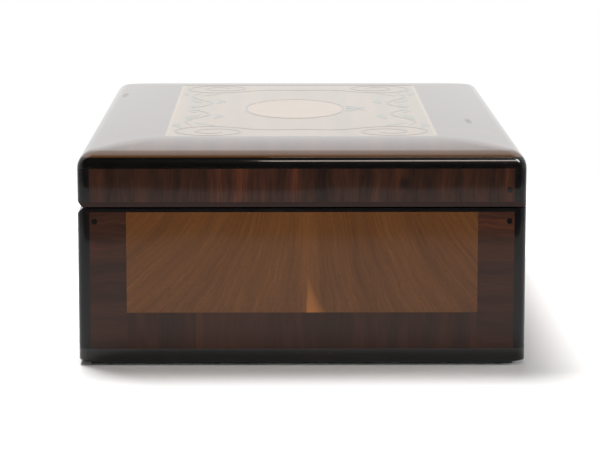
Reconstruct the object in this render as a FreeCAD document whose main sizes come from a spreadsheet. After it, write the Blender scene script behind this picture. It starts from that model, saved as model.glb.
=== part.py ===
import FreeCAD, Part
import math
import os
import Sketcher

# A cylinder music box, closed. X runs along the length, the front faces -Y, Z is up.
os.makedirs("parts", exist_ok=True)
doc = FreeCAD.newDocument("cylinder_music_box")
sheet = doc.addObject("Spreadsheet::Sheet", "Dims")
Vector = FreeCAD.Vector
Rotation = FreeCAD.Rotation


class Size:
    """A length that knows its value and the sheet expression that drives it."""

    def __init__(self, value, text):
        self.value = value
        self.text = text

    @staticmethod
    def of(thing):
        if isinstance(thing, Size):
            return thing
        return Size(float(thing), f"({float(thing)!r})")

    def joined(self, sign, other, value):
        return Size(value, f"({self.text} {sign} {other.text})")

    def __add__(self, other):
        other = Size.of(other)
        return self.joined("+", other, self.value + other.value)

    def __radd__(self, other):
        return Size.of(other) + self

    def __sub__(self, other):
        other = Size.of(other)
        return self.joined("-", other, self.value - other.value)

    def __rsub__(self, other):
        return Size.of(other) - self

    def __mul__(self, other):
        other = Size.of(other)
        return self.joined("*", other, self.value * other.value)

    def __rmul__(self, other):
        return Size.of(other) * self

    def __truediv__(self, other):
        other = Size.of(other)
        return self.joined("/", other, self.value / other.value)

    def __neg__(self):
        return Size.of(0) - self


# Driving dimensions, in millimetres
DIMENSIONS = {
    "case_length": 360.0,
    "case_depth": 240.0,
    "board_thick": 10.0,
    "veneer_thick": 1.0,
    "edging_width": 6.5,
    "corner_radius": 4.5,
    "crossband_width": 19.5,
    "baize_thick": 1.7,
    "baize_inset": 6.0,
    "base_top": 9.3,
    "band_top": 29.1,
    "panel_top": 83.6,
    "body_top": 85.6,
    "lid_bottom": 86.4,
    "lid_rim_top": 89.0,
    "lid_band_top": 106.9,
    "lid_flat": 118.8,
    "lid_margin": 45.0,
    "lid_edge_radius": 9.2,
    "lid_dome_radius": 251.4,
    "lid_moulding_width": 3.3,
    "lid_panel_thick": 0.8,
    "hinge_y": 117.2,
    "hinge_z": 86.0,
    "hinge_radius": 1.8,
    "hinge_length": 40.0,
    "hinge_spacing": 220.0,
    "partition_x": 118.0,
    "partition_thick": 6.0,
    "partition_top": 82.0,
    "axis_z": 46.0,
    "bed_bottom": 14.0,
    "bed_top": 18.0,
    "cylinder_radius": 21.5,
    "cylinder_length": 120.0,
    "cylinder_left": -46.0,
    "pin_height": 1.0,
    "pin_gap": 0.4,
    "comb_teeth": 48.0,
    "comb_pitch": 2.5,
    "comb_slot": 0.5,
    "comb_thick": 2.4,
    "barrel_module": 0.85,
    "governor_module": 0.8,
    "worm_module": 0.6,
    "wheel_teeth": 60.0,
    "pinion_teeth": 12.0,
    "worm_wheel_teeth": 30.0,
    "ratchet_teeth": 24.0,
    "ratchet_radius": 14.0,
    "barrel_radius": 21.0,
    "arbor_radius": 2.5,
    "winding_radius": 3.0,
    "running_gap": 0.05,
}

for row, (alias, number) in enumerate(DIMENSIONS.items(), start=1):
    sheet.set(f"A{row}", alias)
    sheet.set(f"B{row}", str(number))
    sheet.setAlias(f"B{row}", alias)
doc.recompute()


def dim(alias):
    return Size(float(sheet.get(alias)), f"Dims.{alias}")


def bind(feature, name, size):
    size = Size.of(size)
    feature.setExpression(name, size.text)


def put(feature, x, y, z):
    for axis, size in zip("xyz", (x, y, z)):
        bind(feature, f"Placement.Base.{axis}", size)


# Solids of the Part workbench, every size an expression
def block(name, x, y, z):
    solid = doc.addObject("Part::Box", name)
    for side, (low, high) in zip(("Length", "Width", "Height"), (x, y, z)):
        bind(solid, side, Size.of(high) - low)
    put(solid, x[0], y[0], z[0])
    return solid


TURN_TO = {
    "x": Rotation(Vector(0, 1, 0), 90),
    "y": Rotation(Vector(1, 0, 0), -90),
    "z": Rotation(),
}


def rod(name, axis, radius, span, centre, sides=0):
    """A round bar along an axis, or one with flat sides where a small round piece repeats."""
    if sides:
        solid = doc.addObject("Part::Prism", name)
        solid.Polygon = sides
        bind(solid, "Circumradius", radius)
    else:
        solid = doc.addObject("Part::Cylinder", name)
        bind(solid, "Radius", radius)
    bind(solid, "Height", Size.of(span[1]) - span[0])
    solid.Placement = FreeCAD.Placement(Vector(), TURN_TO[axis])
    place = list(centre)
    place.insert("xyz".index(axis), span[0])
    put(solid, *place)
    return solid


def fuse(name, parts):
    solid = doc.addObject("Part::MultiFuse", name)
    solid.Shapes = parts
    solid.Refine = True
    return solid


def group(name, parts):
    bundle = doc.addObject("Part::Compound", name)
    bundle.Links = parts
    return bundle


def cut(name, base, tools):
    solid = doc.addObject("Part::Cut", name)
    solid.Base = base
    solid.Tool = tools[0] if len(tools) == 1 else fuse(f"{name}_tools", tools)
    return solid


def common(name, first, second):
    solid = doc.addObject("Part::Common", name)
    solid.Base = first
    solid.Tool = second
    return solid


def mirror(name, source, normal):
    solid = doc.addObject("Part::Mirroring", name)
    solid.Source = source
    solid.Normal = normal
    return solid


# Solids of the PartDesign workbench
def plane_of(body, role):
    return next(item for item in body.Origin.OriginFeatures if item.Role == role)


def sketch_in(body, name, role):
    sketch = body.newObject("Sketcher::SketchObject", name)
    sketch.AttachmentSupport = [(plane_of(body, role), "")]
    sketch.MapMode = "FlatFace"
    return sketch


def pin_point(sketch, geometry, end, across, up):
    for kind, size in (("DistanceX", Size.of(across)), ("DistanceY", Size.of(up))):
        number = sketch.addConstraint(Sketcher.Constraint(kind, -1, 1, geometry, end, size.value))
        bind(sketch, f"Constraints[{number}]", size)


def add_outline(sketch, points):
    spots = [Vector(Size.of(a).value, Size.of(b).value, 0) for a, b in points]
    first = sketch.GeometryCount
    count = len(spots)
    for i in range(count):
        sketch.addGeometry(Part.LineSegment(spots[i], spots[(i + 1) % count]), False)
    for i in range(count):
        after = first + (i + 1) % count
        sketch.addConstraint(Sketcher.Constraint("Coincident", first + i, 2, after, 1))
    for i, (across, up) in enumerate(points):
        pin_point(sketch, first + i, 1, across, up)


def add_circle(sketch, across, up, radius):
    radius = Size.of(radius)
    centre = Vector(Size.of(across).value, Size.of(up).value, 0)
    ring = sketch.addGeometry(Part.Circle(centre, Vector(0, 0, 1), radius.value), False)
    number = sketch.addConstraint(Sketcher.Constraint("Radius", ring, radius.value))
    bind(sketch, f"Constraints[{number}]", radius)
    pin_point(sketch, ring, 3, across, up)


def pad(body, sketch, length, both_ways=False):
    feature = body.newObject("PartDesign::Pad", f"{sketch.Name}_pad")
    feature.Profile = sketch
    feature.Midplane = both_ways
    bind(feature, "Length", length)
    body.Tip = feature
    doc.recompute()
    return feature


def plate_across_x(name, outline, x, holes=()):
    body = doc.addObject("PartDesign::Body", name)
    sketch = sketch_in(body, f"{name}_outline", "YZ_Plane")
    add_outline(sketch, outline)
    for across, up, radius in holes:
        add_circle(sketch, across, up, radius)
    pad(body, sketch, Size.of(x[1]) - x[0])
    bind(body, "Placement.Base.x", x[0])
    return body


def gear(name, teeth, module, x, centre, phase, bore=None):
    """A spur gear about an axis along X, with a tooth gap at the angle phase from +Y towards +Z."""
    body = doc.addObject("PartDesign::Body", name)
    disc = sketch_in(body, f"{name}_disc", "XY_Plane")
    small = teeth.value < 20
    tip = module * (teeth / 2 + 0.85)
    if small:
        add_circle(disc, 0, 0, tip)
    else:
        turns = [2 * math.pi * k / teeth.value for k in range(int(teeth.value))]
        add_outline(disc, [(tip * math.cos(turn), tip * math.sin(turn)) for turn in turns])
    if bore is not None:
        add_circle(disc, 0, 0, bore)
    pad(body, disc, Size.of(x[1]) - x[0])
    quarter = math.pi / 2 / teeth.value
    gap = math.pi / 4 + (0.06 if small else 0.12)
    flare = 1.4 * math.tan(math.radians(20) + quarter)
    narrowing = 1.15 * math.tan(math.radians(9 if small else 14) + quarter)
    half = [(teeth / 2 - 1.15, gap - narrowing), (teeth / 2 + 1.4, gap + flare)]
    if small:
        half.insert(1, (teeth / 2, gap))
    below = [(module * reach, module * -width) for reach, width in half]
    above = [(module * reach, module * width) for reach, width in reversed(half)]
    space = sketch_in(body, f"{name}_gap", "XY_Plane")
    add_outline(space, below + above)
    pocket = body.newObject("PartDesign::Pocket", f"{name}_space")
    pocket.Profile = space
    pocket.Type = "ThroughAll"
    pocket.Midplane = True
    doc.recompute()
    ring = body.newObject("PartDesign::PolarPattern", f"{name}_ring")
    ring.Originals = [pocket]
    ring.Axis = (space, ["N_Axis"])
    ring.Angle = 360
    bind(ring, "Occurrences", teeth)
    body.Tip = ring
    turn = Rotation(Vector(1, 0, 0), phase + 90) * TURN_TO["x"]
    body.Placement = FreeCAD.Placement(Vector(), turn)
    put(body, x[0], *centre)
    return body


NODES = []


def node(label, feature):
    feature.Label = label
    NODES.append(feature)
    return feature


def both(low, high):
    return [(low, high), (-Size.of(high), -Size.of(low))]


# Faces and levels used by several pieces
half_x = dim("case_length") / 2
half_y = dim("case_depth") / 2
core_x = half_x - dim("veneer_thick")
core_y = half_y - dim("veneer_thick")
inner_x = core_x - dim("board_thick")
inner_y = core_y - dim("board_thick")
strip_x = half_x - dim("edging_width")
strip_y = half_y - dim("edging_width")
panel_x = strip_x - dim("crossband_width")
panel_y = strip_y - dim("crossband_width")
base_bottom = dim("baize_thick")
base_top = dim("base_top")
band_top = dim("band_top")
panel_top = dim("panel_top")
body_top = dim("body_top")
lid_bottom = dim("lid_bottom")
lid_rim_top = dim("lid_rim_top")
lid_band_top = dim("lid_band_top")
lid_flat = dim("lid_flat")
running = dim("running_gap")

# The rounded outline that trims every edging
outline_body = doc.addObject("PartDesign::Body", "outline_body")
outline_sketch = sketch_in(outline_body, "outline_sketch", "XY_Plane")
add_outline(outline_sketch, [(-half_x, -half_y), (half_x, -half_y), (half_x, half_y), (-half_x, half_y)])
outline_pad = pad(outline_body, outline_sketch, lid_flat + 2)
upright = [
    f"Edge{i}"
    for i, edge in enumerate(outline_pad.Shape.Edges, start=1)
    if edge.BoundBox.ZLength > 1
]
outline_round = outline_body.newObject("PartDesign::Fillet", "outline_round")
outline_round.Base = (outline_pad, upright)
bind(outline_round, "Radius", dim("corner_radius"))
outline_body.Tip = outline_round
doc.recompute()


def frame(name, outer, inner, z):
    outside = block(f"{name}_outside", (-outer[0], outer[0]), (-outer[1], outer[1]), z)
    inside = block(f"{name}_inside", (-inner[0], inner[0]), (-inner[1], inner[1]), z)
    return cut(name, outside, [inside])


def corner_strips(name, z):
    posts = []
    for x in both(strip_x, half_x):
        for y in both(strip_y, half_y):
            posts.append(block(f"{name}_{len(posts)}", x, y, z))
    return common(name, group(f"{name}_square", posts), outline_body)


def end_board(name, z):
    middle = block(f"{name}_middle", (-core_x, -inner_x), (-inner_y, inner_y), z)
    tongue = block(f"{name}_tongue", (-core_x, -strip_x), (-strip_y, strip_y), z)
    return fuse(name, [middle, tongue])


# Hinges in the notch along the back seam
hinge_y = dim("hinge_y")
hinge_z = dim("hinge_z")
knuckle = dim("hinge_radius")
hinge_half = dim("hinge_length") / 2
segment = dim("hinge_length") / 6
leaf_back = hinge_y - knuckle - 0.4
leaf_front = leaf_back - 5.5
leaf_thick = 1.1
hinge_places = [-dim("hinge_spacing") / 2, dim("hinge_spacing") / 2]
notch_reach = 4.0
notch_rise = 4.76
notch_depth = hinge_y - 0.05
notch = plate_across_x(
    "back_notch",
    [
        (notch_depth, hinge_z),
        (notch_depth + notch_reach, hinge_z - notch_rise),
        (notch_depth + notch_reach, hinge_z + notch_rise),
    ],
    (-half_x - 1, half_x + 1),
)


def hinge_room(name, z):
    """The mortises that one rim gives to the hinge leaves and knuckles."""
    tools = []
    for i, x in enumerate(hinge_places):
        span = (x - hinge_half, x + hinge_half)
        tools.append(block(f"{name}_mortise_{i}", span, (leaf_front, hinge_y - 1.2), z))
        groove = knuckle + 0.3
        tools.append(rod(f"{name}_groove_{i}", "x", groove, span, (hinge_y, hinge_z), sides=16))
    return tools


def hinge_leaves(name, z, stretches, bore, bore_sides):
    leaves = []
    for i, x in enumerate(hinge_places):
        plate = block(f"{name}_plate_{i}", (x - hinge_half, x + hinge_half), (leaf_front, leaf_back), z)
        pieces = [plate]
        for k, (low, high) in enumerate(stretches):
            span = (x + low, x + high)
            pieces.append(block(f"{name}_tab_{i}_{k}", span, (leaf_back - 0.5, hinge_y), z))
            pieces.append(rod(f"{name}_knuckle_{i}_{k}", "x", knuckle, span, (hinge_y, hinge_z), sides=16))
        solid = fuse(f"{name}_solid_{i}", pieces)
        span = (x - hinge_half - 1, x + hinge_half + 1)
        hole = rod(f"{name}_hole_{i}", "x", bore, span, (hinge_y, hinge_z), bore_sides)
        leaves.append(cut(f"{name}_{i}", solid, [hole]))
    return group(name, leaves)


lower_z = (body_top - leaf_thick, body_top)
upper_z = (lid_bottom, lid_bottom + leaf_thick)
outer_stretches = [(-hinge_half, -segment - 0.1), (segment + 0.1, hinge_half)]
middle_stretch = [(-segment, segment)]
lower_leaves = hinge_leaves("hinge_leaves_lower", lower_z, outer_stretches, 1.0, 12)
node("hinge_leaves_lower", lower_leaves)
upper_leaves = hinge_leaves("hinge_leaves_upper", upper_z, middle_stretch, 0.9 + running, 0)
node("hinge_leaves_upper", upper_leaves)
pins = []
for x in hinge_places:
    span = (x - hinge_half, x + hinge_half)
    pins.append(rod(f"hinge_pin_{len(pins)}", "x", 0.9, span, (hinge_y, hinge_z)))
node("hinge_pins", group("hinge_pins", pins))

# Lock in the front board, with the keyhole in front of it
lock_half = 22.0
lock_bottom = body_top - 30
lock_front = -inner_y - 7
lock_mid = -inner_y - 3.5
lock_room = block("lock_room", (-lock_half, lock_half), (lock_front, -inner_y), (lock_bottom, body_top))
lock_body = block("lock_body", (-lock_half, lock_half), (lock_front, -inner_y), (lock_bottom, body_top))
staple_slot = block("staple_slot", (-2.2, 2.2), (lock_mid - 2.6, lock_mid + 2.6), (body_top - 13, body_top))
bolt_way = block("bolt_way", (-16, 16), (lock_mid - 1.2, lock_mid + 1.2), (body_top - 10.3, body_top - 5.7))
node("lock_case", cut("lock_case", lock_body, [staple_slot, bolt_way]))
bolt_z = (body_top - 10.2, body_top - 5.8)
node("lock_bolt", block("lock_bolt", (-15, -3), (lock_mid - 1.1, lock_mid + 1.1), bolt_z))
staple = block("staple_bar", (-1.2, 1.2), (lock_mid - 2.2, lock_mid + 2.2), (body_top - 12, lid_bottom))
eye = block("staple_eye", (-2, 2), (lock_mid - 1.5, lock_mid + 1.5), (body_top - 10.7, body_top - 5.3))
staple_plate_z = (lid_bottom, lid_bottom + 1.2)
staple_plate_y = (lock_mid - 3.5, lock_mid + 3.5)
staple_plate = block("staple_plate", (-14, 14), staple_plate_y, staple_plate_z)
node("lock_staple", cut("lock_staple", fuse("staple_solid", [staple, staple_plate]), [eye]))
staple_room = block("staple_room", (-14, 14), staple_plate_y, staple_plate_z)

keyhole_z = lock_bottom + 8
key_round = rod("key_round", "y", 1.9, (-half_y - 1, lock_front), (0, keyhole_z))
key_slot = block("key_slot", (-0.9, 0.9), (-half_y - 1, lock_front), (keyhole_z - 6, keyhole_z))
keyhole = fuse("keyhole", [key_round, key_slot])


def escutcheon_disc(name, y):
    disc = doc.addObject("PartDesign::Body", name)
    sketch = sketch_in(disc, f"{name}_outline", "XZ_Plane")
    rim = []
    for k in range(24):
        angle = math.radians(15 * k)
        rim.append((6 * math.cos(angle), keyhole_z - 1.5 + 9 * math.sin(angle)))
    add_outline(sketch, rim)
    pad(disc, sketch, dim("veneer_thick"))
    bind(disc, "Placement.Base.y", y)
    return disc


escutcheon = escutcheon_disc("escutcheon_disc", -core_y)
escutcheon_room = escutcheon_disc("escutcheon_room", -core_y)
node("escutcheon", cut("escutcheon", escutcheon, [keyhole]))

# Case boards, base and baize
board_z = (base_top, panel_top)
front_board = block("front_board", (-strip_x, strip_x), (-core_y, -inner_y), board_z)
node("case_front", cut("case_front", front_board, [lock_room, keyhole]))
node("case_back", block("case_back", (-strip_x, strip_x), (inner_y, core_y), board_z))
left_end = node("case_left_end", end_board("case_left_end", board_z))
node("case_right_end", mirror("case_right_end", left_end, Vector(1, 0, 0)))
base_z = (base_bottom, base_top)
node("base_board", block("base_board", (-strip_x, strip_x), (-strip_y, strip_y), base_z))
base_frame = frame("base_frame", (half_x, half_y), (strip_x, strip_y), base_z)
node("base_edging", common("base_edging", base_frame, outline_body))
baize_x = half_x - dim("baize_inset")
baize_y = half_y - dim("baize_inset")
node("baize", block("baize", (-baize_x, baize_x), (-baize_y, baize_y), (0, base_bottom)))

# Ebonised corner strips and rim of the body
body_ring = frame("body_ring", (half_x, half_y), (inner_x, inner_y), (panel_top, body_top))
body_rim = common("body_rim_round", body_ring, outline_body)
body_rim_tools = [notch, lock_room] + hinge_room("body_rim", lower_z)
body_rim_cut = cut("body_rim", body_rim, body_rim_tools)
body_posts = cut("body_posts", corner_strips("body_posts_whole", board_z), [notch])
node("case_edging", group("case_edging", [body_rim_cut, body_posts]))

# Veneers of the body: panels, crossbanded uprights and base bands
end_panel = block("end_panel", (-half_x, -core_x), (-panel_y, panel_y), (band_top, panel_top))
node("left_panel", end_panel)
node("right_panel", mirror("right_panel", end_panel, Vector(1, 0, 0)))
front_panel = block("front_panel_whole", (-panel_x, panel_x), (-half_y, -core_y), (band_top, panel_top))
node("front_panel", cut("front_panel", front_panel, [escutcheon_room]))
back_panel = block("back_panel_whole", (-panel_x, panel_x), (core_y, half_y), (band_top, panel_top))
node("back_panel", cut("back_panel", back_panel, [notch]))

plug_radius = 1.6
case_plug_z = panel_top - 5
lid_plug_z = lid_rim_top + 6.5
plug_y = strip_y - 2.6
plug_spans = both(core_x, half_x)


def plugs(name, places):
    solids = []
    for span in plug_spans:
        for y, z in places:
            solids.append(rod(f"{name}_{len(solids)}", "x", plug_radius, span, (y, z), sides=12))
    return solids


case_plug_places = [(-plug_y, case_plug_z), (plug_y, case_plug_z)]
lid_plug_places = [(-plug_y, lid_plug_z)]
node("case_plugs", group("case_plugs", plugs("case_plug", case_plug_places)))
node("lid_plugs", group("lid_plugs", plugs("lid_plug", lid_plug_places)))

uprights = []
for x in both(core_x, half_x):
    for y in both(panel_y, strip_y):
        uprights.append(block(f"end_upright_{len(uprights)}", x, y, (band_top, panel_top)))
for y in both(core_y, half_y):
    for x in both(panel_x, strip_x):
        uprights.append(block(f"side_upright_{len(uprights)}", x, y, (band_top, panel_top)))
upright_group = group("crossband_upright_group", uprights)
upright_holes = plugs("case_plug_hole", case_plug_places)
node("crossband_uprights", cut("crossband_uprights", upright_group, [notch] + upright_holes))


def bands(name, z):
    strips = []
    for x in both(core_x, half_x):
        strips.append(block(f"{name}_end_{len(strips)}", x, (-strip_y, strip_y), z))
    for y in both(core_y, half_y):
        strips.append(block(f"{name}_side_{len(strips)}", (-strip_x, strip_x), y, z))
    return group(name, strips)


node("crossband_base", bands("crossband_base", (base_top, band_top)))

# Lid: rails, crossbands, edging and the pillow of the top
rail_z = (lid_rim_top, lid_band_top)
rails = []
for y in both(inner_y, core_y):
    rails.append(block(f"lid_long_rail_{len(rails)}", (-strip_x, strip_x), y, rail_z))
left_rail = end_board("lid_left_rail", rail_z)
rails.append(left_rail)
rails.append(mirror("lid_right_rail", left_rail, Vector(1, 0, 0)))
node("lid_rails", group("lid_rails", rails))

lid_band_holes = plugs("lid_plug_hole", lid_plug_places)
lid_bands = bands("lid_band_group", rail_z)
node("lid_crossbands", cut("lid_crossbands", lid_bands, [notch] + lid_band_holes))

lid_ring = frame("lid_ring", (half_x, half_y), (inner_x, inner_y), (lid_bottom, lid_rim_top))
lid_rim = common("lid_rim_round", lid_ring, outline_body)
lid_rim_cut = cut("lid_rim", lid_rim, [notch, staple_room] + hinge_room("lid_rim", upper_z))
lid_posts = cut("lid_posts", corner_strips("lid_posts_whole", rail_z), [notch])
node("lid_edging", group("lid_edging", [lid_rim_cut, lid_posts]))


def pillow_profile(name, role, half, depth):
    """A slab whose section is flat in the middle, falls in a shallow arc and ends in a rounded edge."""
    body = doc.addObject("PartDesign::Body", name)
    sketch = sketch_in(body, f"{name}_section", role)
    edge = dim("lid_edge_radius")
    dome = dim("lid_dome_radius")
    flat = half - dim("lid_margin")
    top = lid_flat.value
    lean = math.asin((dim("lid_margin").value - edge.value) / (dome.value - edge.value))
    join_x = flat.value + dome.value * math.sin(lean)
    join_z = top - dome.value * (1 - math.cos(lean))
    side_z = join_z - edge.value * math.cos(lean)
    foot = lid_band_top - 5
    up = Vector(0, 0, 1)

    def arc(x, z, radius, start, end):
        return Part.ArcOfCircle(Part.Circle(Vector(x, z, 0), up, radius), start, end)

    def line(a, b):
        return Part.LineSegment(Vector(*a, 0), Vector(*b, 0))

    right = half.value
    side_x = right - edge.value
    quarter = math.pi / 2
    dome_z = top - dome.value
    shapes = [
        line((-right, foot.value), (right, foot.value)),
        line((right, foot.value), (right, side_z)),
        arc(side_x, side_z, edge.value, 0, quarter - lean),
        arc(flat.value, dome_z, dome.value, quarter - lean, quarter),
        line((flat.value, top), (-flat.value, top)),
        arc(-flat.value, dome_z, dome.value, quarter, quarter + lean),
        arc(-side_x, side_z, edge.value, quarter + lean, 2 * quarter),
        line((-right, side_z), (-right, foot.value)),
    ]
    for shape in shapes:
        sketch.addGeometry(shape, False)
    sketch.addConstraint(Sketcher.Constraint("Coincident", 0, 2, 1, 1))
    sketch.addConstraint(Sketcher.Constraint("Coincident", 7, 2, 0, 1))
    for before in range(1, 7):
        sketch.addConstraint(Sketcher.Constraint("Tangent", before, 2, before + 1, 1))
    for upright_line in (1, 7):
        sketch.addConstraint(Sketcher.Constraint("Vertical", upright_line))
    sketch.addConstraint(Sketcher.Constraint("Horizontal", 0))
    for index, radius in ((2, edge), (3, dome), (5, dome), (6, edge)):
        number = sketch.addConstraint(Sketcher.Constraint("Radius", index, radius.value))
        bind(sketch, f"Constraints[{number}]", radius)
    pin_point(sketch, 0, 1, -half, foot)
    number = sketch.addConstraint(Sketcher.Constraint("DistanceX", -1, 1, 0, 2, right))
    bind(sketch, f"Constraints[{number}]", half)
    pin_point(sketch, 4, 1, flat, lid_flat)
    pin_point(sketch, 4, 2, -flat, lid_flat)
    pad(body, sketch, depth, both_ways=True)
    return body


long_slab = pillow_profile("lid_long_slab", "XZ_Plane", half_x, half_y * 2)
cross_slab = pillow_profile("lid_cross_slab", "YZ_Plane", half_y, half_x * 2)
pillow = common("lid_pillow", common("lid_pillow_square", long_slab, cross_slab), outline_body)
top_x = half_x - dim("lid_moulding_width")
top_y = half_y - dim("lid_moulding_width")
above = (lid_band_top, lid_flat + 1)
top_slab = block("lid_top_slab", (-top_x, top_x), (-top_y, top_y), above)
all_above = block("lid_all_above", (-half_x, half_x), (-half_y, half_y), above)
flat_x = half_x - dim("lid_margin")
flat_y = half_y - dim("lid_margin")
panel_z = (lid_flat - dim("lid_panel_thick"), lid_flat)
lid_panel = node("lid_panel", block("lid_panel", (-flat_x, flat_x), (-flat_y, flat_y), panel_z))
node("lid_top", cut("lid_top", common("lid_top_whole", pillow, top_slab), [lid_panel]))
lid_crown = common("lid_crown", pillow, all_above)
node("lid_moulding", cut("lid_moulding", lid_crown, [top_slab]))

# Partitions, and the glazed inner lid between them
axis_z = dim("axis_z")
barrel_module = dim("barrel_module")
wheel_teeth = dim("wheel_teeth")
pinion_teeth = dim("pinion_teeth")
barrel_y = barrel_module * (wheel_teeth + pinion_teeth) / 2
winding_radius = dim("winding_radius")
partition_x = dim("partition_x")
partition_out = partition_x + dim("partition_thick")
partition_top = dim("partition_top")
pivot_y = inner_y - 5.5
pivot_z = partition_top - 3.5
partition_z = (base_top, partition_top)
partition_tools = {"left": [], "right": []}
partition_tools["left"].append(
    rod("arbor_way", "x", winding_radius + 1, (-partition_out, -partition_x), (barrel_y, axis_z), sides=16)
)
for side, sign in (("left", -1), ("right", 1)):
    ends = sorted((partition_x * sign, partition_out * sign), key=lambda size: size.value)
    wall = block(f"{side}_wall", tuple(ends), (-inner_y, inner_y), partition_z)
    hole = rod(f"{side}_pivot_hole", "x", 1.2 + running, tuple(ends), (pivot_y, pivot_z))
    partition_tools[side].append(hole)
    node(f"{side}_partition", cut(f"{side}_partition", wall, partition_tools[side]))

frame_x = partition_x - 0.5
frame_front = -inner_y + 0.5
frame_back = inner_y - 2
frame_z = (partition_top - 7, partition_top)
stile = 12.0
rebate = 3.0
glass_z = (partition_top - 3.5, partition_top - 1.5)
frame_block = block("inner_frame_block", (-frame_x, frame_x), (frame_front, frame_back), frame_z)
sight_x = frame_x - stile
sight_y = (frame_front + stile, frame_back - stile)
sight = block("inner_frame_sight", (-sight_x, sight_x), sight_y, frame_z)
glass_x = sight_x + rebate
glass_y = (sight_y[0] - rebate, sight_y[1] + rebate)
glass = node("inner_lid_glass", block("inner_lid_glass", (-glass_x, glass_x), glass_y, glass_z))
pivots = []
sockets = []
for x in both(frame_x - 6, partition_x + 4):
    pivots.append(rod(f"inner_pivot_{len(pivots)}", "x", 1.2, x, (pivot_y, pivot_z)))
    sockets.append(rod(f"inner_socket_{len(sockets)}", "x", 1.25, x, (pivot_y, pivot_z), sides=12))
node("inner_lid_frame", cut("inner_lid_frame", frame_block, [sight, glass] + sockets))
knob_y = frame_front + stile / 2
knob_stem = rod("knob_stem", "z", 1.8, (partition_top, partition_top + 2.5), (0, knob_y), sides=8)
knob_head = rod("knob_head", "z", 4.0, (partition_top + 2.5, partition_top + 5), (0, knob_y), sides=16)
knob = fuse("inner_knob", [knob_stem, knob_head])
node("inner_lid_fittings", group("inner_lid_fittings", [knob] + pivots))

# Bedplate on two bearers
bed_bottom = dim("bed_bottom")
bed_top = dim("bed_top")
bed_y = (-84, 76)
bearers = []
for x in both(92, 108):
    bearers.append(block(f"bearer_{len(bearers)}", x, bed_y, (base_top, bed_bottom)))
bed_places = [(x, y) for x in (-100, 100) for y in (-76, 69)]
bed_holes = []
screws = []


def screw(name, radius, head, shank, top, place):
    stem = rod(f"{name}_stem", "z", radius, (top - shank, top), place, sides=6)
    cap = rod(f"{name}_cap", "z", head, (top, top + head * 0.6), place, sides=12)
    return fuse(name, [stem, cap])


for k, place in enumerate(bed_places):
    bed_holes.append(rod(f"bed_hole_{k}", "z", 2.4, (base_top, bed_top), place, sides=6))
    screws.append(screw(f"bed_screw_{k}", 2.4, 5.0, 8.0, bed_top, place))
node("bedplate_bearers", cut("bedplate_bearers", group("bearers", bearers), bed_holes))
bed_block = block("bed_block", (-113, 113), bed_y, (bed_bottom, bed_top))
node("bedplate", cut("bedplate", bed_block, bed_holes))

# Pinned cylinder on its arbor
cylinder_left = dim("cylinder_left")
cylinder_right = cylinder_left + dim("cylinder_length")
cylinder_radius = dim("cylinder_radius")
arbor_radius = dim("arbor_radius")
centre = (0, axis_z)
shell = rod("shell", "x", cylinder_radius, (cylinder_left, cylinder_right), centre)
hollow_span = (cylinder_left + 2.5, cylinder_right - 2.5)
hollow = rod("shell_hollow", "x", cylinder_radius - 1.5, hollow_span, centre, sides=24)
shell_bore = rod("shell_bore", "x", arbor_radius + running, (cylinder_left, cylinder_right), centre)
star_offset = 11.0
star_x = (cylinder_left, cylinder_left + 2.5)
star_hole = rod("star_hole", "x", 1.2 + running, star_x, (0, axis_z + star_offset))
node("pin_cylinder", cut("pin_cylinder", shell, [hollow, shell_bore, star_hole]))

comb_teeth = dim("comb_teeth")
comb_pitch = dim("comb_pitch")


def cylinder_pins():
    """Steel pins, one lane for each tooth, spread by a fixed rule so that no two lanes agree."""
    pins = []
    radius = cylinder_radius.value
    middle = Vector(0, 0, axis_z.value)
    for lane in range(int(comb_teeth.value)):
        x = cylinder_left.value + comb_pitch.value * (lane + 0.3)
        for beat in range(3 + lane % 2):
            turn = (lane * 137.5 + beat * 71 + (lane * beat) % 5 * 11) % 330
            foot = axis_z.value + radius
            corners = [(-0.3, -0.25), (0.3, -0.25), (0.0, 0.35), (-0.3, -0.25)]
            ring = [Vector(x + across, along, foot) for across, along in corners]
            pin = Part.Face(Part.makePolygon(ring)).extrude(Vector(0, 0, dim("pin_height").value))
            pin.rotate(middle, Vector(1, 0, 0), turn)
            pins.append(pin)
    return Part.makeCompound(pins)


pin_group = doc.addObject("Part::Feature", "cylinder_pins")
pin_group.Shape = cylinder_pins()
node("cylinder_pins", pin_group)

pinion = gear("drive_pinion", pinion_teeth, barrel_module, (-66, -59.5), centre, 0)
arbor_rod = rod("arbor_rod", "x", arbor_radius, (-70, 94), centre, sides=24)
node("cylinder_arbor", fuse("cylinder_arbor", [arbor_rod, pinion]))
governor_module = dim("governor_module")
node("great_wheel", gear("great_wheel", wheel_teeth, governor_module, (79, 82), centre, 0, arbor_radius))

star_points = []
for k in range(12):
    reach = 6.5 if k % 2 else 3.6
    angle = math.radians(30 * k)
    star_points.append((reach * math.cos(angle), axis_z + star_offset + reach * math.sin(angle)))
star = plate_across_x("star_plate", star_points, (cylinder_left - 3, cylinder_left - 1.5))
star_stem_x = (cylinder_left - 3.5, cylinder_left + 2.5)
star_stem = rod("star_stem", "x", 1.2, star_stem_x, (0, axis_z + star_offset), sides=12)
snail_x = (cylinder_left - 1.5, cylinder_left - 0.2)
snail = rod("star_snail", "x", 3.4, snail_x, (0, axis_z + star_offset), sides=16)
node("tune_star", fuse("tune_star", [star, star_stem, snail]))

# Steel comb with graded slots, on its base
tip_y = -cylinder_radius - dim("pin_height") - dim("pin_gap")
comb_back = -80.0
comb_top = axis_z + 1
comb_z = (comb_top - dim("comb_thick"), comb_top)
comb_x = (cylinder_left, cylinder_left + comb_pitch * comb_teeth)
comb_blank = block("comb_blank", comb_x, (comb_back, tip_y), comb_z)


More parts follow.
